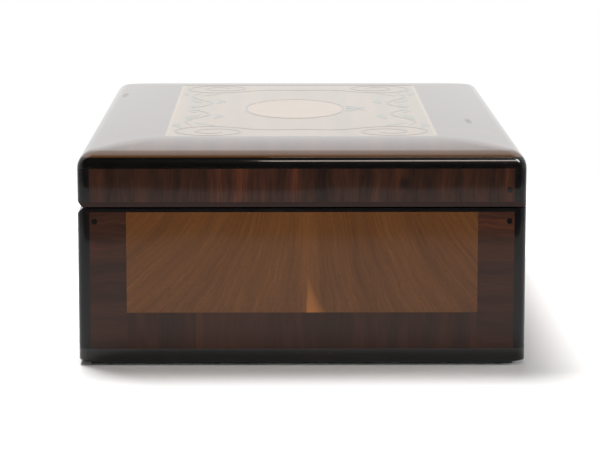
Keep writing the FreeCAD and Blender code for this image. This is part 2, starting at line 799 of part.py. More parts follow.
def comb_slots():
    """One slot between each pair of teeth, long for the bass and short for the treble."""
    slots = []
    low = comb_z[0].value - 1
    for k in range(1, int(comb_teeth.value)):
        middle = comb_x[0].value + comb_pitch.value * k
        depth = 42.0 - 0.4 * k
        slot = Part.makeBox(dim("comb_slot").value, depth + 1, dim("comb_thick").value + 2)
        slot.translate(Vector(middle - dim("comb_slot").value / 2, tip_y.value - depth, low))
        slots.append(slot)
    return Part.makeCompound(slots)


slot_group = doc.addObject("Part::Feature", "comb_slots")
slot_group.Shape = comb_slots()
comb_screw_places = [(-36 + 25 * k, -73) for k in range(5)]
comb_holes = []
for k, place in enumerate(comb_screw_places):
    comb_holes.append(rod(f"comb_hole_{k}", "z", 1.8, (comb_top - 12, comb_top), place, sides=6))
    screws.append(screw(f"comb_screw_{k}", 1.8, 3.4, 12.0, comb_top, place))
comb_slotted = cut("comb_slotted", comb_blank, [slot_group])
node("comb", cut("comb", comb_slotted, comb_holes))
comb_base_x = (comb_x[0] - 3, comb_x[1] + 3)
comb_base_block = block("comb_base_block", comb_base_x, (-82, -66), (bed_top, comb_z[0]))
node("comb_base", cut("comb_base", comb_base_block, comb_holes))

# Spring barrel and its wheel, turning on the winding arbor
barrel_centre = (barrel_y, axis_z)
drum_span = (-106, -64)
drum = rod("drum", "x", dim("barrel_radius"), drum_span, barrel_centre)
drum_hollow = rod("drum_hollow", "x", dim("barrel_radius") - 1.3, (-104.5, -65.5), barrel_centre, sides=24)
drum_bore = rod("drum_bore", "x", winding_radius + running, drum_span, barrel_centre)
node("spring_barrel", cut("spring_barrel", drum, [drum_hollow, drum_bore]))
wheel_bore = winding_radius + running
barrel_phase = 180 + 180 / wheel_teeth.value
barrel_wheel = gear(
    "barrel_wheel", wheel_teeth, barrel_module, (-64, -60.5), barrel_centre, barrel_phase, wheel_bore
)
node("barrel_wheel", barrel_wheel)


def mainspring():
    """A flat spring wound in a spiral of short straight lengths."""
    thick = 0.7
    pitch = 2.05
    steps = 14
    turns = 5
    inner, outer = [], []
    for k in range(steps * turns + 1):
        angle = 2 * math.pi * k / steps
        for edge, reach in ((inner, 0.0), (outer, thick)):
            radius = 8.2 + pitch * k / steps + reach
            edge.append(Vector(0, radius * math.cos(angle), radius * math.sin(angle)))
    ring = inner + outer[::-1]
    return Part.Face(Part.makePolygon(ring + ring[:1])).extrude(Vector(36, 0, 0))


spring = doc.addObject("Part::Feature", "mainspring")
spring.Shape = mainspring()
put(spring, -103, barrel_y, axis_z)
node("mainspring", spring)

# Winding arbor with its ratchet, the lever that turns it and the click that holds it
ratchet_x = (-131, -128)
ratchet_radius = dim("ratchet_radius")
ratchet_teeth = int(dim("ratchet_teeth").value)
ratchet_points = []
for k in range(ratchet_teeth):
    angle = math.radians(360 / ratchet_teeth * k)
    for part in (1.0, 0.86):
        reach = ratchet_radius * part
        ratchet_points.append((barrel_y + reach * math.cos(angle), axis_z + reach * math.sin(angle)))
ratchet = plate_across_x("ratchet", ratchet_points, ratchet_x)
winding_rod = rod("winding_rod", "x", winding_radius, (-142, -53), barrel_centre, sides=24)
spring_core = rod("spring_core", "x", 7.0, (-104, -66), barrel_centre, sides=16)
node("winding_arbor", fuse("winding_arbor", [winding_rod, spring_core, ratchet]))


def polar(reach, degrees):
    angle = math.radians(degrees)
    return (barrel_y + reach * math.cos(angle), axis_z + reach * math.sin(angle))


lever_x = (-138, -134)
lever_angle = 195.0
lever_reach = 58.0


def along_lever(reach, side):
    angle = math.radians(lever_angle)
    across = barrel_y + (reach * math.cos(angle) - side * math.sin(angle))
    up = axis_z + (reach * math.sin(angle) + side * math.cos(angle))
    return (across, up)


arm_outline = [along_lever(*spot) for spot in ((0, -7), (lever_reach, -4), (lever_reach, 4), (0, 7))]
arm = plate_across_x("lever_arm", arm_outline, lever_x)
hub = rod("lever_hub", "x", 9.0, lever_x, barrel_centre, sides=24)
lever_end = along_lever(lever_reach, 0)
grip = rod("lever_grip", "x", 5.0, (-152, -134), lever_end, sides=16)
pawl_spot = along_lever(24, 0)
pawl_stud = rod("pawl_stud", "x", 2.0, (-134, -128), pawl_spot, sides=8)
pawl_outline = [
    along_lever(26.2, -1),
    along_lever(26.2, 1.5),
    along_lever(22, 3),
    polar(13.2, 180.9),
    polar(14.6, 184.5),
    along_lever(22, -3),
]
pawl = plate_across_x("pawl", pawl_outline, (-131, -128.4))
lever_bore = rod("lever_bore", "x", winding_radius + running, lever_x, barrel_centre)
lever_solid = fuse("lever_solid", [arm, hub, grip, pawl_stud, pawl])
node("winding_lever", cut("winding_lever", lever_solid, [lever_bore]))

click_stud_spot = polar(25, 65)
click_outline = [
    (click_stud_spot[0] - 3.5, click_stud_spot[1] - 1.5),
    (click_stud_spot[0] - 2.2, click_stud_spot[1] + 3),
    (click_stud_spot[0] + 2.2, click_stud_spot[1] + 3),
    (click_stud_spot[0] + 3.5, click_stud_spot[1] - 1.5),
    polar(19.5, 41),
    polar(14.5, 38.5),
    polar(14.5, 40.5),
]
click_hole = (*click_stud_spot, 1.5 + running)
node("click", plate_across_x("click", click_outline, (-130.5, -128.5), [click_hole]))
click_stem = rod("click_stem", "x", 1.5, (-131, -124), click_stud_spot, sides=12)
click_head = rod("click_head", "x", 2.6, (-132, -131), click_stud_spot, sides=12)
screws.append(fuse("click_stud", [click_stem, click_head]))

# Bearings of the cylinder and the barrel, standing on the bedplate
bearing_top = axis_z + 10
left_plate = block("left_plate", (-57, -52), (-10, barrel_y + 12), (bed_top, bearing_top))
left_hole = rod("left_hole", "x", arbor_radius + running, (-57, -52), centre)
left_hole_barrel = rod("left_hole_barrel", "x", winding_radius + running, (-57, -52), barrel_centre)
left_bridge = cut("left_bridge", left_plate, [left_hole, left_hole_barrel])
bracket = block("bracket", (-113, -108.5), (barrel_y - 12, barrel_y + 12), (bed_top, bearing_top))
bracket_hole = rod("bracket_hole", "x", winding_radius + running, (-113, -108.5), barrel_centre)
barrel_bracket = cut("barrel_bracket", bracket, [bracket_hole])
node("left_bearings", group("left_bearings", [left_bridge, barrel_bracket]))
right_plate = block("right_plate", (88, 93), (-9, 9), (bed_top, bearing_top))
right_hole = rod("right_hole", "x", arbor_radius + running, (88, 93), centre)
node("right_bearing", cut("right_bearing", right_plate, [right_hole]))

# Governor: wheel, worm spindle and fly between two plates and a cock
governor_y = governor_module * (wheel_teeth + pinion_teeth) / 2
governor_centre = (governor_y, axis_z)
spindle_x = 100.8
worm_teeth = dim("worm_wheel_teeth")
worm_module = dim("worm_module")
worm_radius = 1.9
spindle_y = governor_y + worm_module * (worm_teeth / 2 + 1) + worm_radius + 0.2
spindle = (spindle_x, spindle_y)
pinion_phase = 180 + 180 / pinion_teeth.value
governor_pinion = gear(
    "governor_pinion", pinion_teeth, governor_module, (78, 83), governor_centre, pinion_phase
)
worm_wheel = gear("worm_wheel", worm_teeth, worm_module, (100, 101.6), governor_centre, 0)
governor_rod = rod("governor_rod", "x", 1.2, (77, 112), governor_centre, sides=12)
node("governor_wheel", fuse("governor_wheel", [governor_rod, governor_pinion, worm_wheel]))

governor_base_z = (bed_top, bed_top + 6)
governor_blocks = [block("governor_base", (86, 112), (22, 62), governor_base_z)]
for x in ((86, 89), (109, 112)):
    plate_y = (22, governor_y + 9)
    governor_blocks.append(block(f"governor_plate_{x[0]}", x, plate_y, (bed_top, axis_z + 7)))
governor_tools = [rod("governor_hole", "x", 1.2 + running, (86, 112), governor_centre)]
governor_tools.append(rod("spindle_foot_hole", "z", 1.0 + running, (bed_top + 2, bed_top + 6), spindle))
governor_solid = fuse("governor_solid", governor_blocks)
node("governor_frame", cut("governor_frame", governor_solid, governor_tools))
cock_top = partition_top - 8
cock_post = block("cock_post", (96, 106), (54, 62), (bed_top + 6, cock_top))
cock_arm = block("cock_arm", (96, 106), (spindle_y - 4, 62), (cock_top - 3, cock_top))
cock_hole = rod("cock_hole", "z", 1.0 + running, (cock_top - 3, cock_top), spindle)
node("governor_cock", cut("governor_cock", fuse("cock_solid", [cock_post, cock_arm]), [cock_hole]))

spindle_low = rod("spindle_low", "z", 1.0, (bed_top + 2.2, cock_top - 0.5), spindle, sides=12)
spindle_worm = rod("spindle_worm", "z", worm_radius, (axis_z - 7, axis_z + 7), spindle, sides=16)
node("worm_spindle", fuse("worm_spindle", [spindle_low, spindle_worm]))
fly_z = (axis_z + 12, cock_top - 4.5)
fly_hub = rod("fly_hub", "z", 2.0, (axis_z + 10, cock_top - 3.5), spindle, sides=12)
fly_vane = block("fly_vane", (spindle_x - 8, spindle_x + 8), (spindle_y - 0.3, spindle_y + 0.3), fly_z)
fly_bore = rod("fly_bore", "z", 1.05, (axis_z + 10, cock_top - 3.5), spindle, sides=12)
node("fly_wings", cut("fly_wings", fuse("fly_solid", [fly_hub, fly_vane]), [fly_bore]))

# Stop lever and change lever on a brass plate in the right compartment
lever_plate_x = (partition_out, partition_out + 2)
lever_spots = {"stop_lever": -26, "change_lever": 6}
plate_holes = []
for label, y in lever_spots.items():
    hinge = (y, axis_z)
    plate_holes.append(rod(f"{label}_plate_hole", "x", 2.1, lever_plate_x, hinge, sides=16))
    stem = rod(f"{label}_screw_stem", "x", 2.0, (partition_out, partition_out + 6), hinge, sides=12)
    head = rod(f"{label}_screw_head", "x", 3.6, (partition_out + 6, partition_out + 7.5), hinge, sides=12)
    screws.append(fuse(f"{label}_screw", [stem, head]))
    bar_x = (partition_out + 2.3, partition_out + 5.5)
    bar = block(f"{label}_bar", bar_x, (y - 3.5, y + 3.5), (axis_z, axis_z + 32))
    boss = rod(f"{label}_boss", "x", 6.0, bar_x, hinge, sides=16)
    knob_x = (partition_out + 5.5, partition_out + 14)
    knob = rod(f"{label}_knob", "x", 3.5, knob_x, (y, axis_z + 28), sides=12)
    way = rod(f"{label}_way", "x", 2.0 + running, bar_x, hinge)
    node(label, cut(label, fuse(f"{label}_solid", [bar, boss, knob]), [way]))
lever_plate = block("lever_plate_block", lever_plate_x, (-42, 22), (axis_z - 12, axis_z + 12))
node("lever_plate", cut("lever_plate", lever_plate, plate_holes))
node("movement_screws", group("movement_screws", screws))

# Checks on every feature and every node, then the export
doc.recompute()
for feature in doc.Objects:
    if "Invalid" in feature.State or "Error" in feature.State:
        raise RuntimeError(f"{feature.Label} did not build: {feature.State}")
for feature in NODES:
    shape = feature.Shape
    if shape.isNull() or not shape.isValid() or not shape.Solids:
        raise RuntimeError(f"{feature.Label} has no valid solid")
    shape.exportStep(f"parts/{feature.Label}.step")
    print(feature.Label, len(shape.Solids), round(shape.Volume, 1))
print(len(NODES), "nodes")
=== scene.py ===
import logging
import math
import random
from dataclasses import dataclass
from enum import Enum

import bpy
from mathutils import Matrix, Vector


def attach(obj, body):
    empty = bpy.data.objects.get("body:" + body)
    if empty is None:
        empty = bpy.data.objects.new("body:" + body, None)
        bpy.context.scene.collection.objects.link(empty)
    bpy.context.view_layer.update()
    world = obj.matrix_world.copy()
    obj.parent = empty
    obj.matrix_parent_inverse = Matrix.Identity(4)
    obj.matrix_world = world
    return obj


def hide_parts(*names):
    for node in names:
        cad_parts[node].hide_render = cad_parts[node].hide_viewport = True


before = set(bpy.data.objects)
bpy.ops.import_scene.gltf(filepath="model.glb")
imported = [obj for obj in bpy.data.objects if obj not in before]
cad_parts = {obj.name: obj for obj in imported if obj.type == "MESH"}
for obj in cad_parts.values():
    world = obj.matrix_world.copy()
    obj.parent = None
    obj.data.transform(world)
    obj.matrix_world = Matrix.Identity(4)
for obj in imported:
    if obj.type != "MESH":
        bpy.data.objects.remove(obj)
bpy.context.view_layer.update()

MM = 0.001
LOG = logging.getLogger("music_box")

# Levels and edges of the box that several pieces share, in millimetres
HALF_LENGTH = 180.0
HALF_DEPTH = 120.0
CORNER_RADIUS = 4.5
BASE_TOP = 9.3
BAND_TOP = 29.1
PANEL_TOP = 83.6
LID_RIM_TOP = 89.0
LID_BAND_TOP = 106.9
LID_FLAT = 118.8
LID_MARGIN = 45.0

CORNERS = ((1, 1), (-1, 1), (-1, -1), (1, -1))

Point = tuple[float, float]
Spot = tuple[float, float, float]
Face = tuple[int, ...]
Shape = tuple[list[Spot], list[Face]]
Tree = bpy.types.NodeTree
Node = bpy.types.Node
Value = Node | bpy.types.NodeSocket | float | tuple
Links = dict[int | str, Value]
Stops = list[tuple[float, str]]


def linear(hex_code: str) -> tuple[float, float, float, float]:
    """Turns an sRGB colour into linear light.

    Args:
        hex_code: Six hex digits.

    Returns:
        Red, green, blue and alpha.
    """
    parts = [int(hex_code[i:i + 2], 16) / 255 for i in (0, 2, 4)]
    light = [c / 12.92 if c <= 0.04045 else ((c + 0.055) / 1.055) ** 2.4 for c in parts]
    return (*light, 1.0)


def join(tree: Tree, node: Node, links: Links) -> None:
    """Fills a node's inputs.

    Args:
        tree: The node tree that holds it.
        node: The node.
        links: For each input, by name or number, a node, a socket or a plain value.
    """
    for key, value in links.items():
        source = value.outputs[0] if isinstance(value, Node) else value
        if isinstance(source, bpy.types.NodeSocket):
            tree.links.new(source, node.inputs[key])
        else:
            node.inputs[key].default_value = source


def add_node(
    tree: Tree, kind: str, links: Links | None = None, stops: Stops | None = None, **settings: object
) -> Node:
    """Adds a node with its settings and links.

    Args:
        tree: The node tree that takes it.
        kind: The node's type.
        links: Its inputs, as join takes them.
        stops: A colour ramp's places and hex colours.
        settings: The node's own properties.

    Returns:
        The new node.
    """
    node = tree.nodes.new(kind)
    for key, value in settings.items():
        setattr(node, key, value)
    join(tree, node, links or {})
    if stops:
        elements = node.color_ramp.elements
        for element, (place, colour) in zip((elements[0], elements[1]), (stops[0], stops[-1])):
            element.position = place
            element.color = linear(colour)
        for place, colour in stops[1:-1]:
            elements.new(place).color = linear(colour)
    return node


def place_in_mm(tree: Tree) -> Node:
    """Gives a point of the surface in the part's own millimetres.

    Args:
        tree: The node tree that takes the nodes.

    Returns:
        A node with X, Y and Z outputs.
    """
    place = add_node(tree, "ShaderNodeTexCoord").outputs["Object"]
    scaled = add_node(tree, "ShaderNodeVectorMath", {
        0: place, 1: (1 / MM, 1 / MM, 1 / MM),
    }, operation="MULTIPLY")
    return add_node(tree, "ShaderNodeSeparateXYZ", {0: scaled})


def facing_in(tree: Tree) -> Node:
    """Gives how far the surface faces along each axis, without its sign.

    Args:
        tree: The node tree that takes the nodes.

    Returns:
        A node with X, Y and Z outputs from 0 to 1.
    """
    spot = add_node(tree, "ShaderNodeTexCoord")
    size = add_node(tree, "ShaderNodeVectorMath", {0: spot.outputs["Normal"]}, operation="ABSOLUTE")
    return add_node(tree, "ShaderNodeSeparateXYZ", {0: size})


def along_face(tree: Tree, spot: Node) -> Node:
    """Gives the level distance along an upright face, whichever way it looks.

    Args:
        tree: The node tree that takes the nodes.
        spot: The point in millimetres.

    Returns:
        A node whose value is Y on an end and X on a front or back.
    """
    facing = facing_in(tree)
    on_end = add_node(tree, "ShaderNodeMath", {
        0: spot.outputs[1], 1: facing.outputs[0],
    }, operation="MULTIPLY")
    return add_node(tree, "ShaderNodeMath", {
        0: spot.outputs[0], 1: facing.outputs[1], 2: on_end,
    }, operation="MULTIPLY_ADD")


class Facing(Enum):
    """The axis that runs along a veneered face: Y on the ends, X on the front and back."""

    SIDE = 0
    END = 1


class Grain(Enum):
    """The way that a wood's streaks run."""

    ALONG_X = "along_x"
    ALONG_Y = "along_y"


@dataclass(frozen=True)
class Crown:
    """How a hand-polished upright face falls away towards its upper and lower edges, in millimetres."""

    middle: float
    half: float
    lean_degrees: float
    ripple: float
    wave_mm: float = 62.5

    def height(self, tree: Tree, level: Value) -> Node:
        """Gives the face's height in metres.

        Args:
            tree: The node tree that takes the nodes.
            level: The height above the table, in millimetres.

        Returns:
            A node with the height of the crown and of its unevenness.
        """
        bend = -math.tan(math.radians(self.lean_degrees)) / (2 * self.half)
        off = add_node(tree, "ShaderNodeMath", {0: level, 1: self.middle}, operation="SUBTRACT")
        square = add_node(tree, "ShaderNodeMath", {0: off, 1: 2.0}, operation="POWER")
        # Waves left by the polisher's hand
        place = add_node(tree, "ShaderNodeTexCoord").outputs["Object"]
        wave = add_node(tree, "ShaderNodeTexNoise", {
            "Vector": place, "Scale": 1 / (self.wave_mm * MM), "Detail": 1.0,
        })
        wave = add_node(tree, "ShaderNodeMath", {0: wave, 1: self.ripple * MM}, operation="MULTIPLY")
        return add_node(tree, "ShaderNodeMath", {
            0: square, 1: bend * MM, 2: wave,
        }, operation="MULTIPLY_ADD")


BODY_CROWN = Crown(47.0, 38.0, 2.4, 0.3)
LID_CROWN = Crown(97.5, 9.5, 3.4, 0.9)
WOOD_SPECULAR = 0.1
BOTH_NORMALS = ("Normal", "Coat Normal")


@dataclass(frozen=True)
class Finish:
    """A finish named for its real material, which makes its own material once."""

    name: str

    def material(self) -> bpy.types.Material:
        """Makes the material, or gives the one made before.

        Returns:
            The material.
        """
        made = bpy.data.materials.get(self.name)
        if made is None:
            made = bpy.data.materials.new(self.name)
            made.use_nodes = True
            self.dress(made.node_tree, made.node_tree.nodes["Principled BSDF"])
        return made

    def dress(self, tree: Tree, shader: Node) -> None:
        """Adds the finish's own nodes."""
        raise NotImplementedError

    def varnish(
        self, tree: Tree, shader: Node, colour: Node, roughness: float, coat: Value, haze: float
    ) -> None:
        """Sets a polished wood, whose gloss is nearly all in the clear film over it.

        Args:
            tree: The finish's node tree.
            shader: The surface shader.
            colour: The wood's colour.
            roughness: The wood's own roughness.
            coat: The film's weight.
            haze: The film's roughness.
        """
        join(tree, shader, {
            "Base Color": colour, "Roughness": roughness, "Specular IOR Level": WOOD_SPECULAR,
            "Coat Weight": coat, "Coat Roughness": haze,
        })

    def bump(self, tree: Tree, shader: Node, height: Node, inputs: tuple[str, ...] = ("Normal",)) -> None:
        """Leans the surface by a height.

        Args:
            tree: The finish's node tree.
            shader: The surface shader.
            height: The height in metres.
            inputs: The shader's normals that take it.
        """
        lean = add_node(tree, "ShaderNodeBump", {"Strength": 1.0, "Distance": 1.0, "Height": height})
        for name in inputs:
            tree.links.new(lean.outputs[0], shader.inputs[name])


@dataclass(frozen=True)
class BookMatchedMahogany(Finish):
    """French-polished mahogany from a crotch, two leaves opened like a book.

    Streaks fan out downwards from the joint, pores show as short dark flecks, and a small orange flame
    stands at the foot of the joint.
    """

    facing: Facing
    seam: float
    spread: float
    lopsided: float
    shade: tuple[str, str, str, str] = ("472911", "553316", "5b3819", "6f4725")
    flame: str = "8f5a2b"
    pore: str = "331a0b"
    flame_rise: float = 21.0
    leaf_reach: Point = (8.5, 0.9)
    joint_reach: Point = (7.0, 0.2)
    leaf_shift: float = 31.0
    drawn_out: float = 0.045
    wander: float = 3.5
    wander_mm: float = 22.222
    pore_mm: float = 0.38462
    pore_length_mm: float = 2.5
    band_mm: float = 11.765
    streak_mm: float = 1.1765
    roughness: float = 0.42
    coat: float = 0.34
    haze: float = 0.1

    def dress(self, tree: Tree, shader: Node) -> None:
        """Adds the fanned grain, the pores, the flame and the polish.

        Args:
            tree: The finish's node tree.
            shader: The surface shader.
        """
        spot = place_in_mm(tree)
        off = add_node(tree, "ShaderNodeMath", {
            0: spot.outputs[self.facing.value], 1: self.seam,
        }, operation="SUBTRACT")
        away = add_node(tree, "ShaderNodeMath", {0: off}, operation="ABSOLUTE")
        side = add_node(tree, "ShaderNodeMath", {0: off}, operation="SIGN")
        fall = add_node(tree, "ShaderNodeMapRange", {0: spot.outputs[2], 1: PANEL_TOP + 8, 2: BAND_TOP})
        bent = add_node(tree, "ShaderNodeMath", {0: fall, 1: 1.5}, operation="POWER")
        rate = add_node(tree, "ShaderNodeMath", {
            0: side, 1: self.lopsided, 2: self.spread,
        }, operation="MULTIPLY_ADD")
        widen = add_node(tree, "ShaderNodeMath", {0: bent, 1: rate, 2: 1.0}, operation="MULTIPLY_ADD")
        drift = add_node(tree, "ShaderNodeCombineXYZ", {0: off, 1: spot.outputs[2], 2: 0.0})
        sway = add_node(tree, "ShaderNodeTexNoise", {
            "Vector": drift, "Scale": 1 / self.wander_mm, "Detail": 1.0,
        })
        line = add_node(tree, "ShaderNodeMath", {0: away, 1: widen}, operation="DIVIDE")
        line = add_node(tree, "ShaderNodeMath", {0: sway, 1: self.wander, 2: line}, operation="MULTIPLY_ADD")
        leaf = add_node(tree, "ShaderNodeMath", {0: side, 1: self.leaf_shift}, operation="MULTIPLY")
        slow = add_node(tree, "ShaderNodeMath", {
            0: spot.outputs[2], 1: self.drawn_out,
        }, operation="MULTIPLY")
        grain = add_node(tree, "ShaderNodeCombineXYZ", {0: line, 1: slow, 2: leaf})
        # Broad bands with fine streaks, few of them pale
        broad = add_node(tree, "ShaderNodeTexNoise", {
            "Vector": grain, "Scale": 1 / self.band_mm, "Detail": 2.0,
        })
        streak = add_node(tree, "ShaderNodeTexNoise", {
            "Vector": grain, "Scale": 1 / self.streak_mm, "Detail": 4.0, "Roughness": 0.68,
        })
        tone = add_node(tree, "ShaderNodeMath", {0: streak, 1: 0.66}, operation="MULTIPLY")
        tone = add_node(tree, "ShaderNodeMath", {0: broad, 1: 0.35, 2: tone}, operation="MULTIPLY_ADD")
        stops = list(zip((0.3, 0.48, 0.6, 0.76), self.shade))
        colour = add_node(tree, "ShaderNodeValToRGB", {0: tone}, stops=stops)
        # Pores are drawn coarser than real ones, so that they show
        quick = add_node(tree, "ShaderNodeMath", {
            0: spot.outputs[2], 1: 1 / self.pore_length_mm,
        }, operation="MULTIPLY")
        fleck = add_node(tree, "ShaderNodeMath", {0: line, 1: 1 / self.pore_mm}, operation="MULTIPLY")
        fleck = add_node(tree, "ShaderNodeCombineXYZ", {0: fleck, 1: quick, 2: leaf})
        pore = add_node(tree, "ShaderNodeTexNoise", {"Vector": fleck, "Scale": 1.0, "Detail": 1.0})
        pore = add_node(tree, "ShaderNodeMapRange", {0: pore, 1: 0.54, 2: 0.72, 3: 0.0, 4: 0.32})
        colour = add_node(tree, "ShaderNodeMixRGB", {0: pore, 1: colour, 2: linear(self.pore)})
        # The flame narrows upwards, and it is wider on one leaf
        rise = add_node(tree, "ShaderNodeMapRange", {
            0: spot.outputs[2], 1: BAND_TOP - 1, 2: BAND_TOP + self.flame_rise, 3: 1.0, 4: 0.0,
        })
        reach = add_node(tree, "ShaderNodeMath", {0: rise, 1: 1.5}, operation="POWER")
        wide = add_node(tree, "ShaderNodeMapRange", {
            0: side, 1: -1.0, 2: 1.0, 3: self.leaf_reach[0], 4: self.leaf_reach[1],
        })
        reach = add_node(tree, "ShaderNodeMath", {0: reach, 1: wide, 2: 0.4}, operation="MULTIPLY_ADD")
        near = add_node(tree, "ShaderNodeMath", {0: away, 1: reach}, operation="DIVIDE")
        glow = add_node(tree, "ShaderNodeMapRange", {0: near, 1: 1.25, 2: 0.4})
        glow = add_node(tree, "ShaderNodeMath", {0: glow, 1: rise}, operation="MULTIPLY")
        pale = add_node(tree, "ShaderNodeMapRange", {
            0: away, 1: self.joint_reach[0], 2: self.joint_reach[1], 3: 0.0, 4: 0.16,
        })
        glow = add_node(tree, "ShaderNodeMath", {0: glow, 1: 0.85, 2: pale}, operation="MULTIPLY_ADD")
        colour = add_node(tree, "ShaderNodeMixRGB", {0: glow, 1: colour, 2: linear(self.flame)})
        self.varnish(tree, shader, colour, self.roughness, self.coat, self.haze)
        self.bump(tree, shader, BODY_CROWN.height(tree, spot.outputs[2]), BOTH_NORMALS)


@dataclass(frozen=True)
class RosewoodCrossband(Finish):
    """French-polished rosewood cut across the grain in short pieces.

    Near-black and red-brown streaks run square to the band, and the tone changes from piece to piece.
    """

    crown: Crown
    piece: float
    corner: float = 0.0
    knot: Spot | None = None
    shade: tuple[str, str, str, str] = ("190d08", "2a170e", "361d12", "502917")
    knot_shade: str = "150c09"
    upright_step: float = 40.0
    corner_step: float = -7.0
    piece_shift: float = 60.0
    drawn_out: float = 0.06
    sway: float = 6.0
    sway_mm: float = 20.0
    figure_rise: Point = (60.0, 76.0)
    figure_mm: float = 10.0
    streak_mm: float = 1.1111
    roughness: float = 0.4
    coat: float = 0.28
    haze: float = 0.1

    def dress(self, tree: Tree, shader: Node) -> None:
        """Adds the streaks, the pieces' tones, the knot and the polish.

        Args:
            tree: The finish's node tree.
            shader: The surface shader.
        """
        spot = place_in_mm(tree)
        along = along_face(tree, spot)
        level = spot.outputs[2]
        turned = self.turned(tree, along)
        run = add_node(tree, "ShaderNodeMix", {0: turned, 2: along, 3: level})
        cross = add_node(tree, "ShaderNodeMix", {0: turned, 2: level, 3: along})
        warp = add_node(tree, "ShaderNodeCombineXYZ", {0: spot.outputs[0], 1: spot.outputs[1], 2: level})
        sway = add_node(tree, "ShaderNodeTexNoise", {
            "Vector": warp, "Scale": 1 / self.sway_mm, "Detail": 1.0,
        })
        step = add_node(tree, "ShaderNodeMath", {0: run, 1: 1 / self.piece}, operation="MULTIPLY")
        step = add_node(tree, "ShaderNodeMath", {0: step}, operation="FLOOR")
        # Upright pieces have other tones than level ones, and the two corners of a face differ
        side = add_node(tree, "ShaderNodeMath", {0: along}, operation="SIGN")
        side = add_node(tree, "ShaderNodeMath", {
            0: side, 1: self.corner_step, 2: self.upright_step,
        }, operation="MULTIPLY_ADD")
        step = add_node(tree, "ShaderNodeMath", {0: turned, 1: side, 2: step}, operation="MULTIPLY_ADD")
        own = add_node(tree, "ShaderNodeTexWhiteNoise", {"W": step}, noise_dimensions="1D")
        line = add_node(tree, "ShaderNodeMath", {0: sway, 1: self.sway, 2: run}, operation="MULTIPLY_ADD")
        slow = add_node(tree, "ShaderNodeMath", {0: cross, 1: self.drawn_out}, operation="MULTIPLY")
        seed = add_node(tree, "ShaderNodeMath", {0: own, 1: self.piece_shift}, operation="MULTIPLY")
        grain = add_node(tree, "ShaderNodeCombineXYZ", {0: line, 1: slow, 2: seed})
        # Dark figure over fine streaks, both stronger high on the box
        broad = add_node(tree, "ShaderNodeTexNoise", {
            "Vector": grain, "Scale": 1 / self.figure_mm, "Detail": 2.0,
        })
        streak = add_node(tree, "ShaderNodeTexNoise", {
            "Vector": grain, "Scale": 1 / self.streak_mm, "Detail": 3.0, "Roughness": 0.65,
        })
        tone = add_node(tree, "ShaderNodeMath", {0: streak, 1: 0.55, 2: -0.7}, operation="MULTIPLY_ADD")
        tone = add_node(tree, "ShaderNodeMath", {0: broad, 1: 0.85, 2: tone}, operation="MULTIPLY_ADD")
        figure = add_node(tree, "ShaderNodeMapRange", {
            0: level, 1: self.figure_rise[0], 2: self.figure_rise[1], 3: 0.6, 4: 1.25,
        })
        tone = add_node(tree, "ShaderNodeMath", {0: tone, 1: figure, 2: 0.42}, operation="MULTIPLY_ADD")
        tone = add_node(tree, "ShaderNodeMath", {0: own, 1: 0.16, 2: tone}, operation="MULTIPLY_ADD")
        stops = list(zip((0.22, 0.42, 0.58, 0.8), self.shade))
        colour = add_node(tree, "ShaderNodeValToRGB", {0: tone}, stops=stops)
        if self.knot is not None:
            colour = self.with_knot(tree, spot, colour)
        self.varnish(tree, shader, colour, self.roughness, self.coat, self.haze)
        self.bump(tree, shader, self.crown.height(tree, level), BOTH_NORMALS)

    def turned(self, tree: Tree, along: Node) -> Node:
        """Tells where the band stands upright at a corner, so that its grain runs level.

        Args:
            tree: The finish's node tree.
            along: The level distance along the face.

        Returns:
            A node that is 1 in such a corner and 0 elsewhere.
        """
        facing = facing_in(tree)
        half = add_node(tree, "ShaderNodeMath", {0: facing.outputs[0], 1: HALF_DEPTH}, operation="MULTIPLY")
        half = add_node(tree, "ShaderNodeMath", {
            0: facing.outputs[1], 1: HALF_LENGTH, 2: half,
        }, operation="MULTIPLY_ADD")
        size = add_node(tree, "ShaderNodeMath", {0: along}, operation="ABSOLUTE")
        gap = add_node(tree, "ShaderNodeMath", {0: half, 1: size}, operation="SUBTRACT")
        return add_node(tree, "ShaderNodeMath", {0: gap, 1: self.corner}, operation="LESS_THAN")

    def with_knot(self, tree: Tree, spot: Node, colour: Node) -> Node:
        """Darkens a small round knot in the veneer of the left end.

        Args:
            tree: The finish's node tree.
            spot: The point in millimetres.
            colour: The veneer's colour.

        Returns:
            The colour with the knot.
        """
        across, level, radius = self.knot
        flat = add_node(tree, "ShaderNodeCombineXYZ", {
            0: spot.outputs[0], 1: spot.outputs[1], 2: spot.outputs[2],
        })
        gap = add_node(tree, "ShaderNodeVectorMath", {
            0: flat, 1: (-HALF_LENGTH, across, level),
        }, operation="DISTANCE")
        dark = add_node(tree, "ShaderNodeMapRange", {
            0: gap.outputs["Value"], 1: radius, 2: radius * 0.3, 3: 0.0, 4: 0.85,
        })
        return add_node(tree, "ShaderNodeMixRGB", {0: dark, 1: colour, 2: linear(self.knot_shade)})


